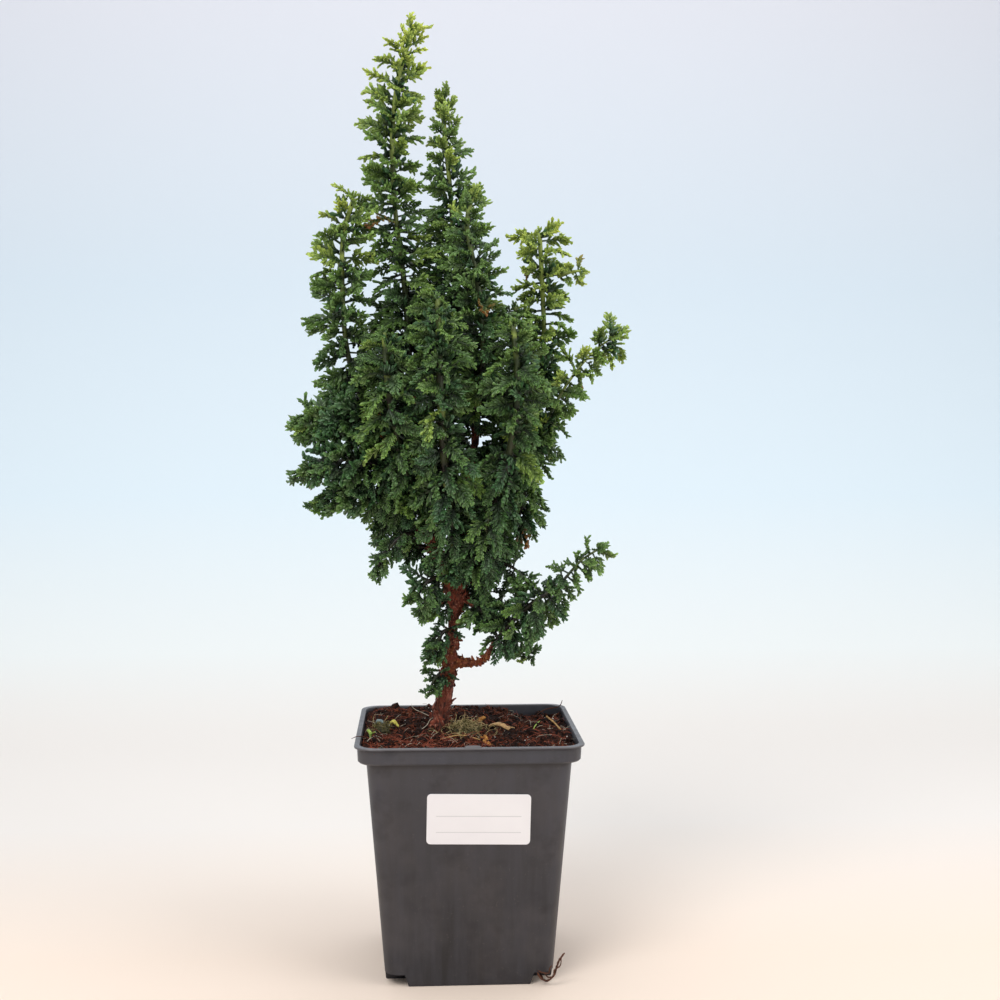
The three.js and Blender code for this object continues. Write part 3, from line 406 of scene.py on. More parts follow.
def smooth_path(points, step):
    """Evenly spaced points along a centripetal curve through the given ones, with directions."""
    knots = [Vector(p) for p in points]
    knots = [2 * knots[0] - knots[1], *knots, 2 * knots[-1] - knots[-2]]
    dense = []
    for a, b, c, d in zip(knots, knots[1:], knots[2:], knots[3:]):
        ab, bc, cd = [math.sqrt((q - p).length) for p, q in ((a, b), (b, c), (c, d))]
        enter = ((b - a) / ab - (c - a) / (ab + bc) + (c - b) / bc) * bc
        leave = ((c - b) / bc - (d - b) / (bc + cd) + (d - c) / cd) * bc
        for t in np.linspace(0, 1, 20, endpoint=False):
            dense.append(
                b * (2 * t**3 - 3 * t**2 + 1) + enter * (t**3 - 2 * t**2 + t)
                + c * (3 * t**2 - 2 * t**3) + leave * (t**3 - t**2)
            )
    dense.append(knots[-2])
    places = np.array(dense)
    lengths = np.concatenate([[0], np.cumsum(np.linalg.norm(np.diff(places, axis=0), axis=1))])
    stops = np.linspace(0, lengths[-1], max(2, round(lengths[-1] / step) + 1))
    even = np.stack([np.interp(stops, lengths, places[:, k]) for k in range(3)], axis=1)
    heading = np.gradient(even, axis=0)
    heading /= np.linalg.norm(heading, axis=1, keepdims=True)
    return [Vector(p) for p in even], [Vector(h) for h in heading], lengths[-1]


def tube_faces(rings, sides):
    """Quads between rings of points, with both ends closed."""
    faces = [
        (r * sides + k, r * sides + (k + 1) % sides, (r + 1) * sides + (k + 1) % sides, (r + 1) * sides + k)
        for r in range(rings - 1) for k in range(sides)
    ]
    faces.append(tuple(reversed(range(sides))))
    faces.append(tuple((rings - 1) * sides + k for k in range(sides)))
    return faces


def grid_faces(rows, columns):
    """Quads between rows of points."""
    return [
        (r * columns + k, r * columns + k + 1, (r + 1) * columns + k + 1, (r + 1) * columns + k)
        for r in range(rows - 1) for k in range(columns - 1)
    ]


CORNER_STEPS = 8  # from point to point round a corner


def square_point(index):
    """A point of a rounded square of half width 1; every side has a corner and a point at its middle."""
    per_side = CORNER_STEPS + 2
    step = index % per_side
    angle = min(step, CORNER_STEPS) / CORNER_STEPS * math.pi / 2
    inner = 1 - CORNER_SHARE
    x, y = inner + CORNER_SHARE * math.cos(angle), inner + CORNER_SHARE * math.sin(angle)
    if step > CORNER_STEPS:
        x, y = 0, 1
    turn = (index // per_side) * math.pi / 2
    return x * math.cos(turn) - y * math.sin(turn), x * math.sin(turn) + y * math.cos(turn)


def square_lathe(name, profile):
    """A closed solid of rounded squares; profile holds (half width, z) from axis to axis."""
    count = (CORNER_STEPS + 2) * 4
    points, faces = [(0, 0, profile[0][1])], []
    for half, z in profile[1:-1]:
        points += [(x * half, y * half, z) for x, y in map(square_point, range(count))]
    points.append((0, 0, profile[-1][1]))
    rings = len(profile) - 2
    for k in range(count):
        after = (k + 1) % count
        faces.append((0, 1 + after, 1 + k))
        faces += [
            (1 + r * count + k, 1 + r * count + after, 1 + (r + 1) * count + after, 1 + (r + 1) * count + k)
            for r in range(rings - 1)
        ]
        faces.append((1 + (rings - 1) * count + k, 1 + (rings - 1) * count + after, len(points) - 1))
    return mesh_of(name, points, faces)


# ---- finishes --------------------------------------------------------------------------------


def pot_finish():
    f = Finish("pot_plastic", roughness=0.42)
    streaks = f.noise(5, 4, (1, 1, 0.06))
    scuffs = f.noise(1.4, 5)
    clouds = f.noise(30, 3)
    height = f.height()
    colour = f.blend(f.between(streaks, 0.35, 0.7), paint("#1b1b20"), paint("#313138"))
    # Painted shade: the pot is darker towards the bottom and lighter towards the top.
    colour = f.blend(f.between(height, 0.01, POT_HEIGHT * MM, 0, 0.55), colour, paint("#494a52"))
    colour = f.blend(f.between(clouds, 0.45, 0.75, 0, 0.5), colour, paint("#4b4749"))
    colour = f.blend(f.between(f.noise(16, 3), 0.52, 0.7, 0, 0.5), colour, paint("#1d1c22"))
    # Painted highlight: a lighter grey along the lip's top edge, where it catches the light.
    lip_highlight = f.between(height, (POT_HEIGHT - 0.9) * MM, (POT_HEIGHT - 0.1) * MM, 0, 0.6)
    colour = f.blend(lip_highlight, colour, paint("#777475"))
    colour = f.blend(f.between(scuffs, 0.62, 0.8, 0, 0.4), colour, paint("#625c5a"))
    # Painted shadow: a near-black line just under the shoulder, beneath the band's overhang.
    band_shadow = f.math("MULTIPLY", f.between(height, (SHOULDER_Z - 3) * MM, (SHOULDER_Z - 0.4) * MM),
                    f.between(height, (SHOULDER_Z - 0.2) * MM, (SHOULDER_Z + 0.2) * MM, 0.7, 0))
    f.set("Base Color", f.blend(band_shadow, colour, paint("#100f10")))
    f.set("Roughness", f.between(streaks, 0.3, 0.7, 0.36, 0.55))
    f.bump(f.noise(0.5, 3), 0.04)
    return f.material


def label_finish():
    """Blank film with two faint ruled lines; across and height are mm from the label's middle."""
    f = Finish("label_film", roughness=0.38)
    film = f.blend(f.noise(18, 2), paint("#f0eff1"), paint("#e8e6e9"))
    height = f.value("height")
    lines = [f.math("ABSOLUTE", f.math("SUBTRACT", height, spot), 0) for spot in LABEL_LINES]
    near = f.between(f.math("MINIMUM", *lines), 0.1, 0.22, 1, 0)
    inside = f.between(f.math("ABSOLUTE", f.value("across"), 0), 20.4, 20.6, 0.55, 0)
    f.set("Base Color", f.blend(f.math("MULTIPLY", near, inside), film, paint("#a9a9ad")))
    f.bump(f.noise(1.2, 2), 0.01)
    return f.material


def peat_finish(name="peat", dark="#040201", light="#552a19"):
    f = Finish(name, roughness=0.92)
    grains = f.noise(1.1, 6)
    patches = f.noise(9, 3)
    colour = f.blend(f.between(grains, 0.42, 0.66), paint(dark), paint(light))
    f.set("Base Color", f.blend(f.between(patches, 0.42, 0.6, 0, 0.85), colour, paint("#0b0504")))
    f.shader.inputs["Specular IOR Level"].default_value = 0.2
    f.bump(grains, 0.5)
    return f.material


def bark_finish():
    f = Finish("bark", roughness=0.85)
    strips = f.noise(2.2, 5, (1, 1, 0.28))
    patches = f.noise(5, 3, (1, 1, 0.5))
    colour = f.blend(f.between(strips, 0.38, 0.62), paint("#28120f"), paint("#ac6550"))
    colour = f.blend(f.between(patches, 0.5, 0.7, 0, 0.65), colour, paint("#a5522f"))
    # Painted shade: the trunk is darker just above the soil.
    foot = f.between(f.height(), 0.118, 0.135, 0.6, 0)
    f.set("Base Color", f.blend(foot, colour, paint("#1f100c")))
    f.bump(strips, 0.9)
    return f.material


def foliage_finish():
    """Scale leaves: tip runs from a finger's foot to its end, scale from a leaf's foot to its edge,
    young_and_lit says how fresh a spray is and how lit, as painted light, and wood marks the bare stem."""
    f = Finish("foliage", roughness=0.5)
    tip, scale, young_and_lit, wood = [f.value(name) for name in ("tip", "scale", "young_and_lit", "wood")]
    tone = f.value("tone")
    # deep is the darkest green: painted shade for the fingers' feet and the gaps between scale leaves.
    deep = f.blend(young_and_lit, paint("#070f08"), paint("#2b4c16"))
    fresh = f.blend(f.between(young_and_lit, 0, 0.4), paint("#3a6835"), paint("#7ca345"))
    fresh = f.blend(f.between(young_and_lit, 0.4, 1), fresh, paint("#dae860"))
    # Each finger runs from painted shade at its foot to the lighter colour of its fresh tip.
    green = f.blend(f.between(tip, 0.1, 0.8, 0.0, 1), deep, fresh)
    patches = f.between(f.noise(4, 2), 0.35, 0.7, 0, 0.5)
    green = f.blend(patches, green, f.blend(young_and_lit, paint("#1d3a1a"), paint("#648c2e")))
    # Painted highlights on the scale leaves' margins, together with the pale stomatal bloom that the leaves
    # have.
    edge = f.blend(young_and_lit, paint("#a2ba9c"), paint("#e6f094"))
    glint = f.between(f.noise(0.6, 2), 0.43, 0.64, 0.0, 0.9)
    margin = f.math("MULTIPLY", f.between(scale, 0.4, 1), f.between(tip, 0.1, 0.5))
    glint = f.math("MULTIPLY", glint, margin)
    green = f.blend(f.math("MULTIPLY", glint, f.between(tone, 0, 1, 0.4, 1)), green, edge)
    # Painted shade in the crevices between the scale leaves.
    green = f.blend(f.between(scale, 0, 0.5, 0.6, 0), green, deep)
    withered = f.math("MULTIPLY", f.between(tone, 0.988, 0.993), f.between(tip, 0.4, 0.9))
    green = f.blend(withered, green, paint("#8f5a2e"))
    rind = f.blend(f.between(young_and_lit, 0.04, 0.18), paint("#1d130c"), paint("#39461f"))
    rind = f.blend(f.between(young_and_lit, 0.25, 0.6), rind, paint("#8fa046"))
    f.set("Base Color", f.blend(wood, green, rind))
    f.bump(f.noise(0.8, 2), 0.12)
    return f.material


def moss_finish():
    f = Finish("moss", roughness=0.9)
    spots = f.noise(1.6, 4)
    colour = f.blend(f.between(spots, 0.35, 0.65), paint("#221f14"), paint("#57512c"))
    f.set("Base Color", f.blend(f.between(f.value("tip"), 0.2, 1), colour, paint("#857b48")))
    return f.material


def stalk_finish(name, dark, light, size=1.5):
    f = Finish(name, roughness=0.8)
    grain = f.noise(size, 4)
    f.set("Base Color", f.blend(f.between(grain, 0.3, 0.7), paint(dark), paint(light)))
    f.bump(grain, 0.2)
    return f.material


PLASTIC = pot_finish()
LABEL = label_finish()
PEAT = peat_finish()
BARK = bark_finish()
FOLIAGE = foliage_finish()
MOSS = moss_finish()
DRY_STALK = stalk_finish("dry_stalk", "#8a6238", "#d3ab6c")
SEEDLING = stalk_finish("seedling", "#6f8c34", "#b4ca62")
ROOT_SKIN = stalk_finish("root_skin", "#28120b", "#683a22")
FIBRE = stalk_finish("fibre", "#4f1f14", "#a24e30")
STRAW = stalk_finish("straw", "#3a2f18", "#dcc58a", 2)
PALE_ROOT = stalk_finish("pale_root", "#8f8268", "#d9d0bc")
AMBER = stalk_finish("amber_crumb", "#8a5420", "#d3974a")
YELLOW = stalk_finish("yellow_bud", "#a89a34", "#e0d66c")
SLATE = stalk_finish("slate_leaf", "#55666a", "#91a2a0")
PERLITE = stalk_finish("perlite", "#cfcabd", "#efece2")

# ---- pot and label ---------------------------------------------------------------------------


def corner_block(quarter, grow):
    """The square frustum that raises a corner of the base."""
    reach, height = FOOT_NOTCH + grow, FOOT_NOTCH_HEIGHT + grow
    bottom, top = [half * math.sqrt(2) * MM for half in (reach, reach - FOOT_NOTCH_SLANT)]
    block = bmesh.new()
    bmesh.ops.create_cone(
        block, cap_ends=True, segments=4, radius1=bottom, radius2=top, depth=(height + 1) * MM,
    )
    spot = Matrix.Translation(Vector((BASE_HALF, BASE_HALF, (height - 1) / 2)) * MM)
    squared = Matrix.Rotation(math.pi / 4, 4, "Z")
    block.transform(Matrix.Rotation(quarter * math.pi / 2, 4, "Z") @ spot @ squared)
    return cutter(block)


def drain(quarter):
    pipe = bmesh.new()
    radius = DRAIN_RADIUS * MM
    bmesh.ops.create_cone(pipe, cap_ends=True, segments=24, radius1=radius, radius2=radius, depth=30 * MM)
    spot = Matrix.Translation(Vector((DRAIN_OFFSET, DRAIN_OFFSET, 0)) * MM)
    pipe.transform(Matrix.Rotation(quarter * math.pi / 2, 4, "Z") @ spot)
    return cutter(pipe)


def cutter(shape):
    mesh = bpy.data.meshes.new("cutter")
    shape.to_mesh(mesh)
    shape.free()
    return object_of("cutter", mesh, smooth=False)


def cut(thing, tools):
    steps = [("BOOLEAN", {"operation": "DIFFERENCE", "object": tool, "solver": "EXACT"}) for tool in tools]
    with_modifiers(thing, *steps)
    for tool in tools:
        bpy.data.objects.remove(tool)
    return thing


def make_pot():
    outside = square_lathe("outside", [
        (0, 0), (BASE_HALF - BASE_ROUNDING, 0), (BASE_HALF - 0.24, 0.24), (BASE_HALF, BASE_ROUNDING),
        (SHOULDER_HALF, SHOULDER_Z - 1), (SHOULDER_HALF + 0.5, SHOULDER_Z - 0.3),
        (BAND_HALF - 0.7, SHOULDER_Z),
        (BAND_HALF, SHOULDER_Z + 0.8), (BAND_HALF + 0.3, POT_HEIGHT - LIP_THICKNESS - 0.8),
        (LIP_HALF - 0.1, POT_HEIGHT - LIP_THICKNESS), (LIP_HALF, POT_HEIGHT - 0.4),
        (LIP_HALF - 0.2, POT_HEIGHT), (0, POT_HEIGHT),
    ])
    inside = square_lathe("inside", [
        (0, FLOOR), (BASE_HALF - WALL - BASE_ROUNDING, FLOOR),
        (BASE_HALF - WALL, FLOOR + BASE_ROUNDING),
        (SHOULDER_HALF - WALL, SHOULDER_Z + 0.4), (BAND_HALF - WALL, SHOULDER_Z + WALL),
        (BAND_HALF - WALL + 0.3, POT_HEIGHT - 0.6), (BAND_HALF - WALL + 0.9, POT_HEIGHT + 1),
        (0, POT_HEIGHT + 1),
    ])
    hollow = cut(object_of("hollow", inside), [corner_block(k, FLOOR) for k in range(4)])
    pot = cut(object_of("pot_body", outside), [hollow])
    cut(pot, [corner_block(k, 0) for k in range(4)] + [drain(k) for k in range(4)])
    coat(pot, PLASTIC)
    pot.data.set_sharp_from_angle(angle=math.radians(35))
    dress(pot, "pot_plastic", "pot")


def make_label():
    half_x, half_z = LABEL_SIZE[0] / 2 - LABEL_CORNER, LABEL_SIZE[1] / 2 - LABEL_CORNER
    outline = []
    for quarter, (sx, sz) in enumerate(((1, 1), (-1, 1), (-1, -1), (1, -1))):
        for step in range(9):
            angle = quarter * math.pi / 2 + step / 8 * math.pi / 2
            across, up = math.cos(angle), math.sin(angle)
            outline.append((sx * half_x + LABEL_CORNER * across, sz * half_z + LABEL_CORNER * up))
    draft = math.atan2(SHOULDER_HALF - BASE_HALF, SHOULDER_Z - 1 - BASE_ROUNDING)
    count = len(outline)
    points = [(x, 0, z) for x, z in outline] + [(x, -LABEL_THICKNESS, z) for x, z in outline]
    faces = [tuple(range(count)), tuple(reversed(range(count, 2 * count)))]
    faces += [(k, count + k, count + (k + 1) % count, (k + 1) % count) for k in range(count)]
    mesh = mesh_of("label_film", points, faces)
    store(mesh, "across", [p[0] for p in points])
    store(mesh, "height", [p[2] for p in points])
    x, z = LABEL_CENTRE
    wall = BASE_HALF + (z - BASE_ROUNDING) * math.tan(draft)
    stand = Matrix.Translation(Vector((x, -wall - 0.05, z)) * MM)
    mesh.transform(stand @ Matrix.Rotation(draft, 4, "X") @ Matrix.Rotation(-LABEL_TURN, 4, "Y"))
    label = object_of("label_film", mesh, LABEL, smooth=False)
    with_modifiers(label, ("BEVEL", {"width": 0.08 * MM, "segments": 2, "limit_method": "ANGLE"}))
    dress(label, "label_film", "label")


def make_lip_tab():
    """A low oval bump on the front lip."""
    rings, sides = 13, 10
    points = []
    for x in np.linspace(-1, 1, rings):
        girth = (1.02 - x**4) ** 0.5
        for k in range(sides):
            angle = k / sides * 2 * math.pi
            points.append((
                TAB_CENTRE[0] + TAB_SIZE[0] * x, TAB_CENTRE[1] + TAB_SIZE[1] * girth * math.cos(angle),
                TAB_CENTRE[2] + TAB_SIZE[2] * girth * math.sin(angle),
            ))
    tab = object_of("lip_tab", mesh_of("lip_tab", points, tube_faces(rings, sides)), PLASTIC)
    dress(tab, "pot_plastic")


make_pot()
make_lip_tab()
make_label()

# ---- soil ------------------------------------------------------------------------------------


def soil_height(x, y):
    rise = SOIL_RISE * ((y / BAND_HALF + 1) / 2) ** 1.5
    dip = SOIL_DIP * math.exp(-((x - 40) ** 2 + (y - 48) ** 2) / 300)
    lumps = 0.6 * math.sin(x * 0.31 + 1.3) * math.cos(y * 0.27 - 0.4)
    return SOIL_LEVEL + rise - dip + lumps + 0.4 * math.sin(x * 0.7 - y * 0.55)


def crumbly(x, y):
    """The soil's height with its clods and crumbs."""
    spot = Vector((x, y, 3))
    clods = noise.fractal(spot / 6, 0.8, 2.2, 5)
    lumps, crumbs = [0.5 - noise.voronoi(spot / size)[0][0] for size in (3.8, 1.9)]
    return soil_height(x, y) + 1.3 * clods + 2.4 * lumps + 1.1 * crumbs


def rounded(x, y, edge):
    """A point of a square, drawn in where the corners are round."""
    inner = (1 - CORNER_SHARE) * edge
    a, b = abs(x) - inner, abs(y) - inner
    if min(a, b) <= 0:
        return x, y
    pull = max(a, b) / math.hypot(a, b)
    return math.copysign(inner + a * pull, x), math.copysign(inner + b * pull, y)


def soil_top(edge):
    """The points and faces of the soil's top, and the numbers of the points round its rim."""
    ticks = np.linspace(-edge, edge, round(2 * edge / SOIL_STEP) + 1)
    spots = [rounded(x, y, edge) for y in ticks for x in ticks]
    points = [(x, y, crumbly(x, y)) for x, y in spots]
    n = len(ticks)
    rim = [*range(n - 1), *range(n - 1, n * n - 1, n)]
    rim += [*range(n * n - 1, n * (n - 1), -1), *range(n * (n - 1), 0, -n)]
    return points, grid_faces(n, n), rim


def make_soil():
    edge = BAND_HALF - WALL - GAP
    points, faces, previous = soil_top(edge)
    count = len(previous)
    corners = [points[k] for k in previous]
    inside = WALL + SLANT_GAP
    below = [
        (edge, SHOULDER_Z + WALL + GAP), (SHOULDER_HALF - inside, SHOULDER_Z + 0.4),
        (BASE_HALF - inside, FLOOR + BASE_ROUNDING + GAP + 5), (BASE_HALF - 8, FLOOR + GAP + 6.5),
    ]
    for half, z in below:
        ring = list(range(len(points), len(points) + count))
        points += [(x * half / edge, y * half / edge, z) for x, y, _ in corners]
        faces += [
            (previous[k], ring[k], ring[(k + 1) % count], previous[(k + 1) % count]) for k in range(count)
        ]
        previous = ring
    faces.append(tuple(reversed(previous)))
    dress(object_of("soil_bed", mesh_of("soil_bed", points, faces), PEAT), "peat", "soil")


make_soil()


def prototypes(name, meshes):
    """A collection, kept out of the scene, whose objects a tree scatters."""
    store_room = bpy.data.collections.new(name)
    for index, mesh in enumerate(meshes):
        store_room.objects.link(bpy.data.objects.new(f"{name}_{index:02d}", mesh))
    return store_room


def scatter_tree():
    """Scatters a collection over a surface, each thing standing along the surface's normal."""
    tree, given = geometry_tree(
        "scatter", Things="Collection", Density="Float", Least="Float", Most="Float",
        Grain="Vector", Disorder="Float", Seed="Int", Finish="Material",
    )
    spots = tree.add("GeometryNodeDistributePointsOnFaces", {
        "Mesh": given["Geometry"], "Density": given["Density"], "Seed": given["Seed"],
    })
    spin = tree.add(
        "FunctionNodeRandomValue", {"Min": (-1, -1, -1), "Max": (1, 1, 1), "Seed": given["Seed"]},
        data_type="FLOAT_VECTOR",
    )
    stray = tree.add(
        "ShaderNodeVectorMath", {0: spin.outputs[0], "Scale": given["Disorder"]}, operation="SCALE",
    )
    lean = tree.add("ShaderNodeVectorMath", {0: given["Grain"], 1: stray.outputs[0]}, operation="ADD")
    turn = tree.add("FunctionNodeAxesToRotation", {
        "Primary Axis": spots.outputs["Normal"], "Secondary Axis": lean.outputs[0],
    }, primary_axis="Z", secondary_axis="Y")
    size = tree.add("FunctionNodeRandomValue", {2: given["Least"], 3: given["Most"], "Seed": given["Seed"]})
    pick = tree.add("FunctionNodeRandomValue", {4: 0, 5: 1000, "Seed": given["Seed"]}, data_type="INT")
    things = tree.add("GeometryNodeCollectionInfo", {
        "Collection": given["Things"], "Separate Children": True, "Reset Children": True,
    })
    placed = tree.add("GeometryNodeInstanceOnPoints", {
        "Points": spots.outputs["Points"], "Instance": things, "Pick Instance": True,
        "Instance Index": pick.outputs[2], "Rotation": turn, "Scale": size.outputs[1],
    })
    real = tree.add("GeometryNodeRealizeInstances", {"Geometry": placed})
    done = tree.add("GeometryNodeSetMaterial", {"Geometry": real, "Material": given["Finish"]})
    tree.add("NodeGroupOutput", {"Geometry": done})
    return tree


SCATTER = scatter_tree()


CLOD_HEIGHT = 0.8  # as a share of its width


def clod(seed):
    """A small angular, flattened lump, 1 mm across."""
    rng = random.Random(seed)
    shape = bmesh.new()
    bmesh.ops.create_icosphere(shape, subdivisions=1, radius=0.5 * MM)
    for vertex in shape.verts:
        vertex.co *= rng.uniform(0.65, 1.2)
        vertex.co.z *= CLOD_HEIGHT
    mesh = bpy.data.meshes.new("clod")
    shape.to_mesh(mesh)
    shape.free()
    return mesh


STRAND_SIDES = 3


def strand(seed, length, girth, bend, rings):
    """A thin curved strand that lies along Y, in mm."""
    rng = random.Random(seed)
    sway, lift = rng.uniform(-bend, bend), rng.uniform(0.05, 0.3) * bend
    points = []
    for r in range(rings):
        t = r / (rings - 1)
        arch = math.sin(math.pi * t)
        centre = Vector((sway * arch, length * (t - 0.5), lift * arch + girth))
        width = girth * (1 - 0.5 * abs(2 * t - 1))
        for k in range(STRAND_SIDES):
            angle = 2 * math.pi * k / STRAND_SIDES
            points.append(centre + Vector((-width * math.cos(angle), 0, width * math.sin(angle))))
    return mesh_of("strand", points, tube_faces(rings, STRAND_SIDES))


LEAF_FACES = ((0, 1, 2, 5), (0, 5, 4), (5, 2, 3), (5, 3, 4), (4, 3, 2), (4, 2, 1, 0))


def leaflet(seed):
    """A moss shoot: a ring of narrow pointed leaves round a short stalk, about 1.5 mm tall."""
    rng = random.Random(seed)
    points, faces, tips = [], [], []
    for k in range(6):
        angle = k * GOLDEN_TURN
        lean = rng.uniform(0.25, 0.8)
        out = Vector((math.cos(angle), math.sin(angle), 0))
        side = out.cross(UP) * 0.16
        root = out * 0.05 + UP * 0.15 * k
        end = root + (out * lean + UP * 0.9) * rng.uniform(0.8, 1.2)
        middle = (root + end) / 2 + out * 0.12
        first = len(points)
        points += [root - side * 0.5, root + side * 0.5, middle + side, end, middle - side, middle - out * 0.1]
        faces += [tuple(first + k for k in face) for face in LEAF_FACES]
        tips += [0, 0, 0.6, 1, 0.6, 0.5]
    mesh = mesh_of("moss_shoot", points, faces)
    store(mesh, "tip", tips)
    return mesh


def surface_of(points, faces, keep):
    """The faces of a surface whose middle passes a test, as a mesh to scatter on."""
    kept = [f for f in faces if keep(sum((Vector(points[k]) for k in f), Vector()) / len(f))]
    return mesh_of("surface", points, kept)


SCATTER_INSET = 1.6  # of what lies on the soil, from the pot's wall
TOP_POINTS, TOP_FACES, _ = soil_top(BAND_HALF - WALL - SCATTER_INSET)


def scatter_on_soil(name, things, finish, slot, density, sizes, seed, keep=lambda p: True):
    """Scatters things over the part of the soil's top that passes a test; density is for each mm2."""
    surface = surface_of(TOP_POINTS, TOP_FACES, keep)
    piece = grown(
        name, surface, SCATTER, keep=("tip",), Things=things, Density=density / MM**2, Least=sizes[0],
        Most=sizes[1], Grain=(0.0, 0.0, 0.0), Disorder=1.0, Seed=seed, Finish=finish,
    )
    dress(piece, slot)


CLODS = prototypes("clods", [clod(k) for k in range(8)])
FIBRES = prototypes("fibres", [strand(20 + k, 3.5 + k * 0.8, 0.12, 1.6, 5) for k in range(6)])
THREADS = prototypes("threads", [strand(40 + k, 4 + k, 0.1, 3.0, 8) for k in range(5)])
CRUMB_FINISH = peat_finish("peat_crumbs", "#050202", "#84482f")

scatter_on_soil("soil_clods", CLODS, CRUMB_FINISH, "peat", 0.1, (0.9, 3.6), 3)
scatter_on_soil("soil_lumps", CLODS, PEAT, "peat", 0.014, (3.5, 6.5), 4)
scatter_on_soil("soil_fibres", FIBRES, FIBRE, "peat", 0.06, (0.6, 1.5), 5)
scatter_on_soil("front_fibres", FIBRES, FIBRE, "peat", 0.2, (0.8, 1.8), 8, lambda p: p.y < -14 and p.x < 12)
scatter_on_soil("pale_roots", THREADS, PALE_ROOT, "dry_stalk", 0.02, (0.5, 1.4), 11)
scatter_on_soil("perlite_specks", CLODS, PERLITE, "peat", 0.012, (0.4, 1.0), 15)

# ---- trunk -----------------------------------------------------------------------------------


def flake(seed):
    """A thin curled flake of bark, up along Y, about 1.6 x 3.4 mm."""
    rng = random.Random(seed)
    width, height, curl = rng.uniform(0.5, 0.9), rng.uniform(1.3, 2.2), rng.uniform(0.3, 0.9)
    rows = [(-1, 0.7, 0), (-0.2, 1, 0.12), (0.5, 0.9, 0.4), (1, 0.35, 1)]
    front = [
        (side * share * width, y * height, rise * curl + 0.08)
        for y, share, rise in rows for side in (-1, 0, 1)
    ]
    front = [(x, y, z - 0.25 * abs(x) / width * 0.4) for x, y, z in front]
    back = [(x, y, z - 0.14) for x, y, z in front]
    count = len(front)
    faces = []
    for face in grid_faces(4, 3):
        faces += [face, tuple(count + k for k in reversed(face))]
    rim = [0, 1, 2, 5, 8, 11, 10, 9, 6, 3]
    faces += [(rim[(k + 1) % 10], rim[k], count + rim[k], count + rim[(k + 1) % 10]) for k in range(10)]
    return mesh_of("flake", front + back, faces)


FORK = (138, 165)  # the heights of the low fork, whose stub stands to the right of FORK_SIDE
FORK_SIDE = -3
FORK_SLIM = 0.9
NECK_Z, NECK_SPREAD, NECK_SLIM = 164, 8, 1.4


def slimmer(spot):
    """How much slimmer than the solid the trunk is: at the low fork, and most at the neck above it."""
    if spot.x > FORK_SIDE and FORK[0] < spot.z < FORK[1]:
        return FORK_SLIM
    return NECK_SLIM * math.exp(-((spot.z - NECK_Z) / NECK_SPREAD) ** 2)


def make_trunk():
    wood = object_of("trunk_wood", merged_copy("trunk"), BARK)
    with_modifiers(wood, ("REMESH", {"mode": "VOXEL", "voxel_size": 0.9 * MM}),
                   ("SMOOTH", {"factor": 0.6, "iterations": 4}))
    mesh = wood.data
    for vertex in mesh.vertices:
        spot = vertex.co / MM
        ridges = noise.fractal(Vector((spot.x / 2.2, spot.y / 2.2, spot.z / 7)), 0.9, 2.1, 4)
        vertex.co = (spot + vertex.normal * (0.2 - slimmer(spot) + 0.7 * ridges)) * MM
    mesh.update()
    coat(wood, BARK)
    dress(wood, "bark", "trunk")
    flakes = prototypes("flakes", [flake(k) for k in range(6)])
    for name, low, high, density, most, disorder, colours in (
        ("bark_flakes", SOIL_LEVEL + 1.5, 225, 0.13, 1.7, 0.9, ("#3d1c16", "#a04e37", "#e2ab8d")),
        ("fork_flakes", 145, 158, 0.3, 1.9, 2.2, ("#4a1e10", "#93502c", "#d7a062")),
    ):
        piece = grown(
            name, band_of(mesh, low, high), SCATTER, Things=flakes, Density=density / MM**2, Least=0.55,
            Most=most, Grain=(0.0, 0.0, 1.0), Disorder=disorder, Seed=21, Finish=flake_finish(name, *colours),
        )
        dress(piece, "bark")


def band_of(mesh, low, high):
    """The part of a mesh between two heights."""
    shape = bmesh.new()
    shape.from_mesh(mesh)
    outside = [f for f in shape.faces if not low < f.calc_center_median().z / MM < high]
    bmesh.ops.delete(shape, geom=outside, context="FACES")
    band = bpy.data.meshes.new("band")
    shape.to_mesh(band)
    shape.free()
    return band


def flake_finish(name, dark, light, edge):
    f = Finish(name, roughness=0.8)
    patches = f.noise(3, 4)
    colour = f.blend(f.between(patches, 0.35, 0.65), paint(dark), paint(light))
    f.set("Base Color", f.blend(f.between(f.noise(1.3, 3), 0.55, 0.75, 0, 0.8), colour, paint(edge)))
    return f.material


make_trunk()

# ---- foliage ---------------------------------------------------------------------------------

FOLD = 0.75  # how flat a finger is
FORK_SHARE = 0.6  # fingers that fork
LEAF_SWELL, LEAF_WAIST = 1.2, 0.62  # how far scale leaves stand out, and their feet, in girths
LEAF_TIP = 0.7  # how far a leaf's edge stands towards the next pair


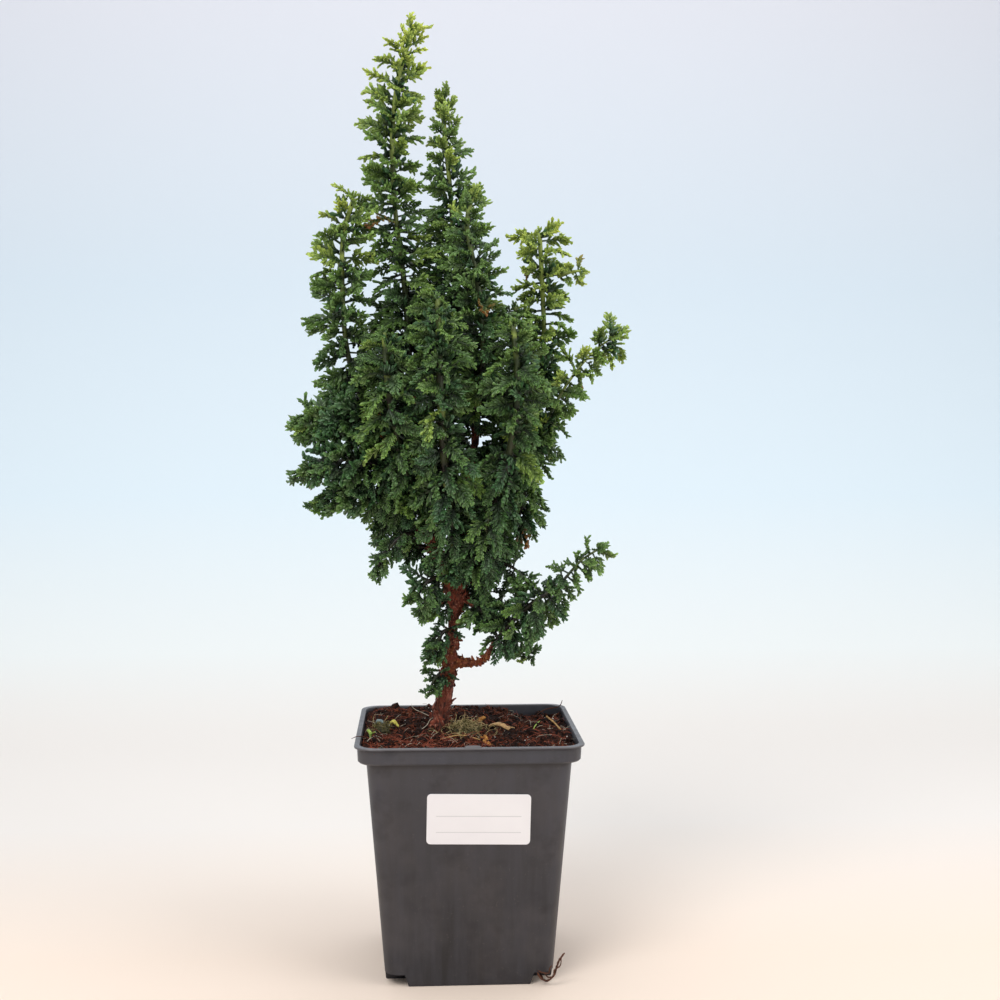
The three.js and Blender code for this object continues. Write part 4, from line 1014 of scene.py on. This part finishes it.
def add_finger(points, faces, marks, root, angle, length, girth, rings, rng):
    """A blunt finger of scale leaves in pairs: by turns, its sides and its faces stand out."""
    bend = math.radians(rng.uniform(4, 22)) * (-1 if angle > 0 else 1)
    roll = rng.uniform(-0.6, 0.6)
    rise = rng.uniform(-0.5, 0.7)

    def frame_at(t):
        turn = math.radians(angle) + bend * t
        heading = Vector((math.sin(turn), math.cos(turn), rise * t))
        side = Vector((math.cos(turn), -math.sin(turn), 0))
        face = side.cross(heading).normalized()
        across = side * math.cos(roll) + face * math.sin(roll)
        return root + heading * length * t, across, face * math.cos(roll) - side * math.sin(roll)

    first = len(points)
    for ring in range(rings):
        for k in range(4):
            stands_out = (ring + k) % 2 == 0
            t = (ring + (LEAF_TIP if stands_out else 0.0)) / rings
            swell = girth * (0.86 + 0.22 * math.sin(math.pi * min(1, t + 0.2))) * rng.uniform(0.9, 1.1)
            centre, side, face = frame_at(t)
            across = (side, face * FOLD, -side, -face * FOLD)[k]
            points.append(centre + across * swell * (LEAF_SWELL if stands_out else LEAF_WAIST))
            marks.append((t, 1.0 if stands_out else 0.0))
    for r in range(rings - 1):
        for k in range(4):
            a, b = first + r * 4 + k, first + r * 4 + (k + 1) % 4
            faces.append((b, a, a + 4, b + 4))
    tip = len(points)
    points.append(frame_at(1.04)[0])
    marks.append((1.0, 0.5))
    last = first + (rings - 1) * 4
    faces.extend((last + (k + 1) % 4, last + k, tip) for k in range(4))
    faces.append((first, first + 1, first + 2, first + 3))
    return frame_at


def spray(seed, pairs, girth, curl, last, lengths):
    """A fan of forked fingers, 1 mm long: root at the origin, out along Y, its face along Z.
    It curls away from its face by curl radians from root to end. Fingers stand as far as last,
    and their lengths run from the first to the second."""
    rng = random.Random(seed)
    points, faces, marks = [], [], []
    for r, y in enumerate((0, last * 0.5, last)):
        width = girth * (0.6 - 0.1 * r)
        ring = ((-1, 0, 0), (0, 0, 1), (1, 0, 0), (0, 0, -1))
        points += [Vector(p) * width + Vector((0, y, 0)) for p in ring]
        marks += [(0.05 * r, 0.0)] * 4
    faces += tube_faces(3, 4)
    for pair in range(pairs):
        share = (pair + 0.5) / pairs
        for hand in (-1, 1):
            place = 0.14 + (last - 0.14) * share + hand * 0.02 + rng.uniform(-0.02, 0.02)
            angle = hand * (64 - 26 * share + rng.uniform(-8, 8))
            length = along(lengths, share) * rng.uniform(0.82, 1.18)
            root = Vector((0, place, 0))
            line = add_finger(points, faces, marks, root, angle, length, girth, 4, rng)
            if rng.random() < (FORK_SHARE if pairs < 5 else FORK_SHARE / 2):
                fork = angle + hand * rng.uniform(28, 45)
                add_finger(points, faces, marks, line(0.35)[0], fork, length * 0.55, girth * 0.9, 4, rng)
    end = Vector((0, last - 0.03, 0))
    add_finger(points, faces, marks, end, rng.uniform(-10, 10), 1 - end.y, girth, 5, rng)
    return curled_mesh("spray", points, faces, marks, curl)


def short_spray(seed):
    """Three plain fingers for the dark middle of a dense stem."""
    rng = random.Random(seed)
    points, faces, marks = [], [], []
    for angle in (-42, 0, 42):
        add_finger(points, faces, marks, Vector((0, 0.1, 0)), angle + rng.uniform(-8, 8), 0.85, 0.16, 4, rng)
    return curled_mesh("short_spray", points, faces, marks, 0.5)


def curled_mesh(name, points, faces, marks, curl):
    curled = []
    for p in points:
        turn = curl * p.y
        along_curl = Vector((0, math.sin(turn) / curl, (math.cos(turn) - 1) / curl))
        curled.append(along_curl + Vector((p.x, p.z * math.sin(turn), p.z * math.cos(turn))))
    mesh = mesh_of(name, curled, faces)
    store(mesh, "tip", [0.55 * m[0] + 0.45 * min(1, p.y) for m, p in zip(marks, points)])
    store(mesh, "scale", [m[1] for m in marks])
    return mesh


def stem_tree():
    """A stem along the mesh's edges, and a spray at each of its points that asks for one."""
    tree, given = geometry_tree("leafy_stem", Sprays="Collection", Sides="Int", Finish="Material")

    def read(name, kind="FLOAT"):
        return tree.add("GeometryNodeInputNamedAttribute", {"Name": name}, data_type=kind).outputs[0]

    line = tree.add("GeometryNodeMeshToCurve", {"Mesh": given["Geometry"]})
    ring = tree.add("GeometryNodeCurvePrimitiveCircle", {"Resolution": given["Sides"], "Radius": 1.0})
    stem = tree.add("GeometryNodeCurveToMesh", {
        "Curve": line, "Profile Curve": ring.outputs["Curve"], "Scale": read("girth"), "Fill Caps": True,
    })
    marked = tree.add(
        "GeometryNodeStoreNamedAttribute", {"Geometry": stem, "Name": "wood", "Value": 1.0},
        data_type="FLOAT", domain="POINT",
    )
    turn = tree.add("FunctionNodeAxesToRotation", {
        "Primary Axis": read("outward", "FLOAT_VECTOR"), "Secondary Axis": read("facing", "FLOAT_VECTOR"),
    }, primary_axis="Y", secondary_axis="Z")
    wanted = tree.add(
        "FunctionNodeCompare", {0: read("reach"), 1: 0.0}, data_type="FLOAT", operation="GREATER_THAN",
    )
    kinds = tree.add("GeometryNodeCollectionInfo", {
        "Collection": given["Sprays"], "Separate Children": True, "Reset Children": True,
    })
    placed = tree.add("GeometryNodeInstanceOnPoints", {
        "Points": given["Geometry"], "Selection": wanted, "Instance": kinds, "Pick Instance": True,
        "Instance Index": read("kind", "INT"), "Rotation": turn, "Scale": read("reach"),
    })
    both = tree.add("GeometryNodeJoinGeometry")
    tree.tree.links.new(marked.outputs[0], both.inputs[0])
    tree.tree.links.new(placed.outputs[0], both.inputs[0])
    real = tree.add("GeometryNodeRealizeInstances", {"Geometry": both})
    done = tree.add("GeometryNodeSetMaterial", {"Geometry": real, "Material": given["Finish"]})
    tree.add("NodeGroupOutput", {"Geometry": done})
    return tree


LEAFY = stem_tree()
# Pairs of fingers, girth, curl, where the last pair stands and the lengths of the fingers.
SMALL_SPRAYS = [
    (3, 0.094, -0.5, 0.64, (0.36, 0.38)), (2, 0.096, 0.4, 0.6, (0.38, 0.38)),
    (3, 0.092, -0.3, 0.66, (0.38, 0.34)), (3, 0.09, 0.5, 0.68, (0.36, 0.34)),
    (3, 0.092, 0.8, 0.64, (0.38, 0.36)),
]
LARGE_SPRAYS = [
    (5, 0.056, 0.6, 0.8, (0.36, 0.24)), (6, 0.05, 0.9, 0.86, (0.34, 0.2)),
    (6, 0.052, 1.2, 0.84, (0.33, 0.21)), (5, 0.055, 0.4, 0.8, (0.37, 0.24)),
    (6, 0.052, 1.0, 0.86, (0.33, 0.2)),
]
MEDIUM_SPRAYS = [
    (4, 0.068, 0.5, 0.72, (0.38, 0.3)), (5, 0.062, 0.9, 0.76, (0.36, 0.26)),
    (4, 0.066, 1.1, 0.72, (0.38, 0.3)), (5, 0.064, 0.3, 0.78, (0.36, 0.26)),
    (4, 0.07, 0.8, 0.74, (0.38, 0.28)),
]
SHORT_SPRAYS = 3
KINDS = len(SMALL_SPRAYS)  # of each size
LARGE_FROM, MEDIUM_FROM, SHORT_FROM = KINDS, 2 * KINDS, 3 * KINDS
SPRAYS = prototypes("sprays", [
    *(spray(100 + k, *kind) for k, kind in enumerate(SMALL_SPRAYS + LARGE_SPRAYS + MEDIUM_SPRAYS)),
    *(short_spray(200 + k) for k in range(SHORT_SPRAYS)),
])


# How much younger than the rest at their height some stems are, at their foot and at their tip: partly fresher
# growth, partly painted light, lighter to the right and darker to the left.
YOUNGER_AND_LIGHTER = {
    "leader_right": (0.0, 0.4), "leader_back": (0.0, -0.08), "branch_right": (0.0, 0.35),
    "spray_right_upper": (0.3, 0.4),
    "branch_left_upper": (-0.1, -0.1), "branch_left_middle": (-0.1, -0.1), "branch_left_back": (-0.1, -0.15),
    "branch_low_right": (0.0, 0.15), "leader_left": (-0.05, 0.1),
}


# How young sprays are at some heights: fresher growth towards the top, and painted light, lighter at the top
# and darker low down.
YOUTH_AND_LIGHT_HEIGHTS = (130, 230, 330, 400, 440, 475)
YOUTH_AND_LIGHT = (0.02, 0.03, 0.14, 0.33, 0.57, 1.1)
TIP_YOUTH = 0.17
BRIGHT_YOUTH = 0.35  # how much younger the few brightest sprays are


def freshness_and_light(name, z, place, rng):
    """How fresh a spray is, with painted light and shade: bright at the top and at every tip, dark low down.
    """
    height = np.interp(z, YOUTH_AND_LIGHT_HEIGHTS, YOUTH_AND_LIGHT)
    younger_and_lighter = along(YOUNGER_AND_LIGHTER.get(name, (0, 0)), place)
    young_and_lit = height + younger_and_lighter + TIP_YOUTH * place**3 + rng.uniform(-0.13, 0.1)
    return min(1.0, max(0.0, young_and_lit + BRIGHT_YOUTH * rng.random() ** 6))


def core_radius(name, solid_core, share):
    """A bare stem where the leaves are open, and a slim dark heart where they are dense."""
    radius = 1.25 + max(0, solid_core - 3) * 0.07
    if name.startswith("leader"):
        return radius
    return radius * np.interp(share, (0, 0.5, 1), (1, 0.7, 0.4))


LEVEL_SAG = 0.6  # how much the sprays of a level branch hang, beside those of an upright one
TIP_REACH = 7.5  # of the spray at a stem's end, and on branches at least
TIP_SHARE = 0.9  # of the reach beside it, on branches


def in_window(p):
    return p.y < -2 and any(math.hypot(p.x - x, p.z - z) < radius for x, z, radius in WINDOWS)


def leafy_mesh(name, stem, rng):
    """A stem's line and the roots of its sprays, each with what its spray needs to know."""
    line, headings, length = smooth_path(stem["line"], STEM_STEP)
    first = (SHOOT_STUB if name.startswith("shoot") else STUB) / length
    shares = np.linspace(0, 1, len(line))
    path = [(p, h, (s - first) / (1 - first)) for p, h, s in zip(line, headings, shares) if s >= first * 0.8]
    core = [core_radius(name, along(stem["core"], share), share) for _, _, share in path]
    points = [p for p, _, _ in path]
    blank = Vector((0, 0, 0))
    rows = [
        (c * MM, blank, blank, 0.0, freshness_and_light(name, p.z, s, rng), 0.0, 0) for c, (p, _, s) in zip(core, path)
    ]
    edges = [(k, k + 1) for k in range(len(points) - 1)]
    turn = rng.uniform(0, 2 * math.pi)
    closer = next((pitch for start, pitch in PITCH_SHARE.items() if name.startswith(start)), 1)
    spot = 0.5
    while spot < len(path) - 1:
        low = int(spot)
        centre = path[low][0].lerp(path[low + 1][0], spot - low)
        heading, share = path[low][1], spot / (len(path) - 1)
        room = along(stem["reach"], share)
        east = heading.cross(Vector((0, 1, 0)) if abs(heading.z) > 0.7 else UP).normalized()
        radial = Matrix.Rotation(turn, 3, heading) @ east
        lift = math.radians(along(stem["lift"], share) + rng.uniform(-14, 14))
        sag = np.interp(centre.z, (210, 300, 420), (0.7, 0.45, 0.05)) * max(abs(heading.z), LEVEL_SAG)
        outward = (radial * math.cos(lift) + heading * math.sin(lift) - UP * sag).normalized()
        upward = heading * 0.6 + UP * 0.8
        upward = (upward - outward * upward.dot(outward)).normalized()
        facing = Matrix.Rotation(rng.uniform(-1.4, 1.4), 3, outward) @ upward
        sunk = core[low] * 0.75
        reach = max(5, room * rng.uniform(0.9, 1.16) - sunk)
        kind = rng.randrange(KINDS)
        if room > 12 and not (name.startswith("branch_left") and share > 0.5):
            kind += MEDIUM_FROM if along(stem["core"], share) < 2 else LARGE_FROM
        if not in_window(centre + outward * reach * 0.6):
            points.append(centre + radial * sunk)
            rows.append((0, outward, facing, reach, freshness_and_light(name, centre.z, share, rng), rng.random(), kind))
        if room > 14 and rng.random() < INNER_SHARE:
            inner = Matrix.Rotation(turn + rng.uniform(1.5, 4.5), 3, heading) @ east
            outward = (inner + heading * rng.uniform(-0.6, 0.9)).normalized()
            points.append(centre + inner * sunk)
            facing = outward.cross(inner.cross(heading))
            # A freshness of 0.0 gives these short inner sprays the darkest green: painted shade of the dense
            # middle, with the darker green of old inner leaves.
            rows.append((
                0, outward, facing, rng.uniform(7, 10), 0.0, rng.random() * 0.9,
                SHORT_FROM + rng.randrange(SHORT_SPRAYS),
            ))
        turn += GOLDEN_TURN
        open_stem = np.interp(along(stem["core"], share), (1.5, 4), (OPEN_PITCH, 1))
        spot += np.interp(room, (8, 14, 20), SPRAY_PITCH) * open_stem * closer / STEM_STEP
    top, heading, _ = path[-1]
    points.append(top - heading * 3)
    reach = max(TIP_REACH, TIP_SHARE * stem["reach"][-1]) if name.startswith("branch") else TIP_REACH
    rows.append((0, heading, Vector((0.2, -1, 0.1)), reach, freshness_and_light(name, top.z, 1, rng), 0.3, 1))
    mesh = mesh_of(name + "_sprays", points, edges=edges)
    for key, index, kind in (
        ("girth", 0, "FLOAT"), ("outward", 1, "FLOAT_VECTOR"), ("facing", 2, "FLOAT_VECTOR"),
        ("reach", 3, "FLOAT"), ("young_and_lit", 4, "FLOAT"), ("tone", 5, "FLOAT"), ("kind", 6, "INT"),
    ):
        store(mesh, key, [row[index] for row in rows], kind)
    return mesh


for index, (name, stem) in enumerate(STEMS.items()):
    mesh = leafy_mesh(name, stem, random.Random(700 + index))
    piece = grown(name + "_sprays", mesh, LEAFY, keep=("tip", "scale", "young_and_lit", "tone", "wood"),
                  Sprays=SPRAYS, Sides=8, Finish=FOLIAGE)
    dress(piece, "foliage", name)

# ---- what lies on the soil -------------------------------------------------------------------

BARK_CHIP = [(11.5, 3, 1.1), (14, 1, 2.6), (17.5, -2, 2.4), (21, -4, 1.8), (24, -6, 1)]
CHIP = stalk_finish("chip", "#7d5a36", "#cda873", 1.1)


def straw(seed):
    """A dry stalk that stands up out of the moss at a slant."""
    rng = random.Random(seed)
    length = rng.uniform(5, 10)
    mesh = strand(seed, length, 0.16, 4.6, 7)
    slant = Matrix.Rotation(math.radians(rng.uniform(-5, 55)), 4, "X")
    mesh.transform(slant @ Matrix.Translation(Vector((0, 0.4 * length * MM, 0))))
    return mesh


MOSS_SQUASH = 0.75


def make_moss(node, seed, straws):
    bed = object_of(node + "_bed", merged_copy(node), MOSS)
    with_modifiers(bed, ("REMESH", {"mode": "VOXEL", "voxel_size": 0.7 * MM}),
                   ("SMOOTH", {"factor": 0.7, "iterations": 6}))
    for vertex in bed.data.vertices:
        x, y, z = vertex.co / MM
        ground = soil_height(x, y)
        vertex.co.z = min(z, ground + (z - ground) * MOSS_SQUASH) * MM
        vertex.co += vertex.normal * noise.fractal(vertex.co / MM / 2.5, 0.9, 2, 3) * 1.1 * MM
    coat(bed, MOSS)
    dress(bed, "moss", node)
    shoots = prototypes(node + "_shoots", [leaflet(seed + k) for k in range(5)])
    stalks = prototypes(node + "_straw", [straw(seed + 10 + k) for k in range(7)])
    for name, things, density, least, most, finish in (
        ("_shoots", shoots, 0.3, 0.6, 1.7, MOSS), ("_straw", stalks, straws, 0.5, 1.1, STRAW),
    ):
        piece = grown(
            node + name, bed.data.copy(), SCATTER, keep=("tip",), Things=things, Density=density / MM**2,
            Least=least, Most=most, Grain=(0.0, 0.0, 0.0), Disorder=1.0, Seed=seed, Finish=finish,
        )
        dress(piece, "moss")


def make_chip():
    """A torn strip of bark, arched over the soil, with ragged sides and ends."""
    line = [(x, y, soil_height(x, y) + lift) for x, y, lift in BARK_CHIP]
    centre, headings, _ = smooth_path(line, 0.6)
    rng = random.Random(31)
    columns = np.linspace(-1, 1, 7)
    ends = [(rng.uniform(0, 0.16), 1 - rng.uniform(0, 0.2)) for _ in columns]
    rows = len(centre)
    points = []
    for r in range(rows):
        for side, (start, stop) in zip(columns, ends):
            share = (start + (stop - start) * r / (rows - 1)) * (rows - 1)
            low = min(int(share), rows - 2)
            spot = centre[low].lerp(centre[low + 1], share - low)
            across = headings[low].cross(UP).normalized()
            ragged = 1 + 0.45 * noise.noise(spot / 1.3 + Vector((0, 0, 9 * side)))
            rise = 0.7 * (1 - side**2) + 0.8 * noise.noise(spot / 2 + across * side)
            points.append(spot + across * side * 2.1 * ragged + UP * rise)
    strip = mesh_of("bark_chip_piece", points, grid_faces(rows, len(columns)))
    chip = object_of("bark_chip_piece", strip, CHIP)
    with_modifiers(chip, ("SOLIDIFY", {"thickness": 0.8 * MM, "offset": 0}),
                   ("SUBSURF", {"levels": 1, "render_levels": 1}))
    dress(chip, "dry_stalk", "bark_chip")


LAID_SIDES = 8


def lay(name, finish, slot, girth, lumps, ends, line, ground=soil_height):
    """A small root or crumb along points of (x, y, height above the ground), with how thick it is,
    how lumpy and how thick its ends are."""
    centre, headings, _ = smooth_path([(x, y, ground(x, y) + lift) for x, y, lift in line], girth * 0.7)
    rings = len(centre)
    points = []
    for r, (spot, heading) in enumerate(zip(centre, headings)):
        swell = girth * (ends + (1 - ends) * math.sin(math.pi * r / (rings - 1)) ** 0.5)
        side = heading.cross(Vector((0.3, -0.2, 1))).normalized()
        for k in range(LAID_SIDES):
            out = Matrix.Rotation(k / LAID_SIDES * 2 * math.pi, 3, heading) @ side
            points.append(spot + out * swell * (1 + lumps * noise.noise((spot + out) / (girth * 1.2))))
    piece = object_of(name, mesh_of(name, points, tube_faces(rings, LAID_SIDES)), finish)
    dress(piece, slot)


def refine(node, material, slot, rough=0.15):
    piece = object_of(node + "_piece", merged_copy(node), material)
    with_modifiers(piece, ("SUBSURF", {"levels": 2, "render_levels": 2}))
    for vertex in piece.data.vertices:
        vertex.co += vertex.normal * noise.fractal(vertex.co / MM / 1.5, 0.9, 2, 3) * rough * MM
    coat(piece, material)
    dress(piece, slot, node)


make_moss("moss_clump", 40, 0.26)
make_moss("moss_lump", 60, 0.08)
TUFT = prototypes("tuft", [straw(90 + k) for k in range(6)])
scatter_on_soil("tuft_straw", TUFT, STRAW, "moss", 0.12, (0.5, 1.0), 44,
                lambda p: math.hypot(p.x + 1, (p.y + 6) * 0.75) < 14)
make_chip()
for row in (
    ("trunk_root_long", PALE_ROOT, "peat", 0.17, 0.0, 0.3, [
        (-16, 8, 5.5), (-19, 10, 5.6), (-22.5, 12, 6.6), (-26, 14, 7.6), (-27.8, 15, 8.6), (-28.2, 15.5, 10),
    ]),
    ("edge_root", ROOT_SKIN, "peat", 0.26, 0.0, 0.3, [
        (-47, -24, 0.6), (-51, -27, 3.6), (-54.5, -30, 4.4), (-57.5, -31, 3.4),
    ]),
    ("trunk_root_short", PALE_ROOT, "peat", 0.17, 0.0, 0.3, [
        (-16.6, 3, 6), (-18.6, 2, 5), (-20.4, 0, 2.6), (-23.6, -2, 0.9), (-27, -2.6, -0.4),
    ]),
    ("corner_root", ROOT_SKIN, "peat", 0.32, 0.0, 0.3, [
        (38, 45, -0.4), (41, 45.5, 3), (45.5, 46.5, 4.6), (50, 46.5, 5), (52.5, 45.5, 5.8), (53.8, 45, 8),
    ]),
    ("amber_crumb_back", AMBER, "peat", 0.9, 2.2, 0.6, [(6.3, 14, 0.6), (8, 15, 2.0), (9.8, 17, 2.2)]),
    ("amber_crumb_front", AMBER, "peat", 0.8, 2.2, 0.6, [
        (6.5, -20, 0.8), (8.8, -27, 1.6), (8, -32, 1.2), (10.8, -38, 0.8),
    ]),
    ("yellow_bud", YELLOW, "seedling", 0.95, 0.8, 0.2, [(-39.5, 9, 1.6), (-37.5, 7, 2.8), (-34.8, 4.5, 1.2)]),
    ("slate_leaf", SLATE, "peat", 1.0, 0.8, 0.2, [(-47.5, 11, 0.8), (-45, 10, 2.6), (-42, 8, 1.6)]),
    ("green_sliver", SEEDLING, "seedling", 0.3, 0.3, 0.3, [
        (33.2, -10, 0.4), (34.2, -6, 1.6), (36, 2, 2.4), (39, 14, 1.4),
    ]),
):
    lay(*row)
refine("tan_twig", DRY_STALK, "dry_stalk")
refine("thin_twig", DRY_STALK, "dry_stalk", 0.05)
refine("seedling", SEEDLING, "seedling", 0.05)
refine("drain_root", ROOT_SKIN, "root_skin", 0.3)
for name, line in (
    ("drain_root_side", [
        (33, -43.6, 8), (35, -45, 7.4), (38.4, -45.6, 7.2), (38.8, -45.4, 9.4), (40, -45.2, 10.8),
    ]),
    ("drain_root_curl", [
        (36, -42, 6.5), (38, -44.5, 4.8), (40.5, -45.6, 5.6), (41, -45.8, 8.6), (43.8, -46, 11),
        (44.4, -46, 15),
    ]),
):
    lay(name, ROOT_SKIN, "root_skin", 0.38, 0.7, 0.3, line, ground=lambda x, y: 0)

# ---- stage, light and camera -----------------------------------------------------------------


STAGE_FRONT, STAGE_BACK = -900, 500  # of its flat part
STAGE_BEND = 500
STAGE_HEIGHT = 2200
STAGE_HALF = 2200


def make_stage():
    """A floor that sweeps up into a wall behind."""
    profile = [(STAGE_FRONT, 0), (STAGE_BACK, 0)]
    for a in np.linspace(0, math.pi / 2, 13)[1:]:
        profile.append((STAGE_BACK + STAGE_BEND * math.sin(a), STAGE_BEND - STAGE_BEND * math.cos(a)))
    profile.append((STAGE_BACK + STAGE_BEND, STAGE_HEIGHT))
    points = [(x, y, z - 0.02) for y, z in profile for x in (-STAGE_HALF, STAGE_HALF)]
    faces = [(2 * k, 2 * k + 1, 2 * k + 3, 2 * k + 2) for k in range(len(profile) - 1)]
    f = Finish("stage", roughness=0.8)
    place = f.add("ShaderNodeSeparateXYZ", {0: f.place})
    height = place.outputs[2]
    ground = f.blend(f.between(place.outputs[1], 0.0, 0.25), paint("#f7e4d3"), paint("#f2ebe4"))
    colour = f.blend(f.between(height, 0.0, 0.05), ground, paint("#eff2f0"))
    colour = f.blend(f.between(height, 0.05, 0.2), colour, paint("#e0eef6"))
    colour = f.blend(f.between(height, 0.2, 0.45), colour, paint("#d9e7f2"))
    f.set("Base Color", f.blend(f.between(height, 0.45, 0.8), colour, paint("#dfe2eb")))
    floor = object_of("stage", mesh_of("stage", points, faces), f.material)


def add_light(name, place, target, size, power):
    lamp = bpy.data.lights.new(name, "AREA")
    lamp.shape, lamp.size, lamp.energy = "DISK", size, power
    thing = bpy.data.objects.new(name, lamp)
    bpy.context.scene.collection.objects.link(thing)
    thing.location = place
    thing.rotation_euler = (Vector(target) - Vector(place)).to_track_quat("-Z", "Y").to_euler()


CAMERA_PLACE = (-24.0, -726.2, 268.0)
CAMERA_HEADING = (0.0565, 0.9974, -0.0448)
CAMERA_FOCUS = 1.4279  # focal length as a share of the picture's width
SENSOR = 36


def make_camera():
    lens = bpy.data.cameras.new("camera")
    lens.sensor_width = SENSOR
    lens.lens = SENSOR * CAMERA_FOCUS
    lens.clip_start, lens.clip_end = 0.01, 20
    camera = bpy.data.objects.new("camera", lens)
    bpy.context.scene.collection.objects.link(camera)
    camera.location = Vector(CAMERA_PLACE) * MM
    camera.rotation_euler = Vector(CAMERA_HEADING).to_track_quat("-Z", "Y").to_euler()
    bpy.context.scene.camera = camera


make_stage()
add_light("key", (-0.6, -1.0, 1.4), (0, 0, 0.25), 0.9, 14)
add_light("fill", (1.0, -0.6, 0.8), (0, 0, 0.2), 1.0, 5.5)
add_light("top", (0.1, 0.2, 1.6), (0, 0, 0.2), 1.2, 6)
world = bpy.data.worlds.new("studio")
world.use_nodes = True
world.node_tree.nodes["Background"].inputs[0].default_value = (0.93, 0.96, 1, 1)
world.node_tree.nodes["Background"].inputs[1].default_value = 0.5
bpy.context.scene.world = world
bpy.context.scene.view_settings.view_transform = "Standard"
make_camera()
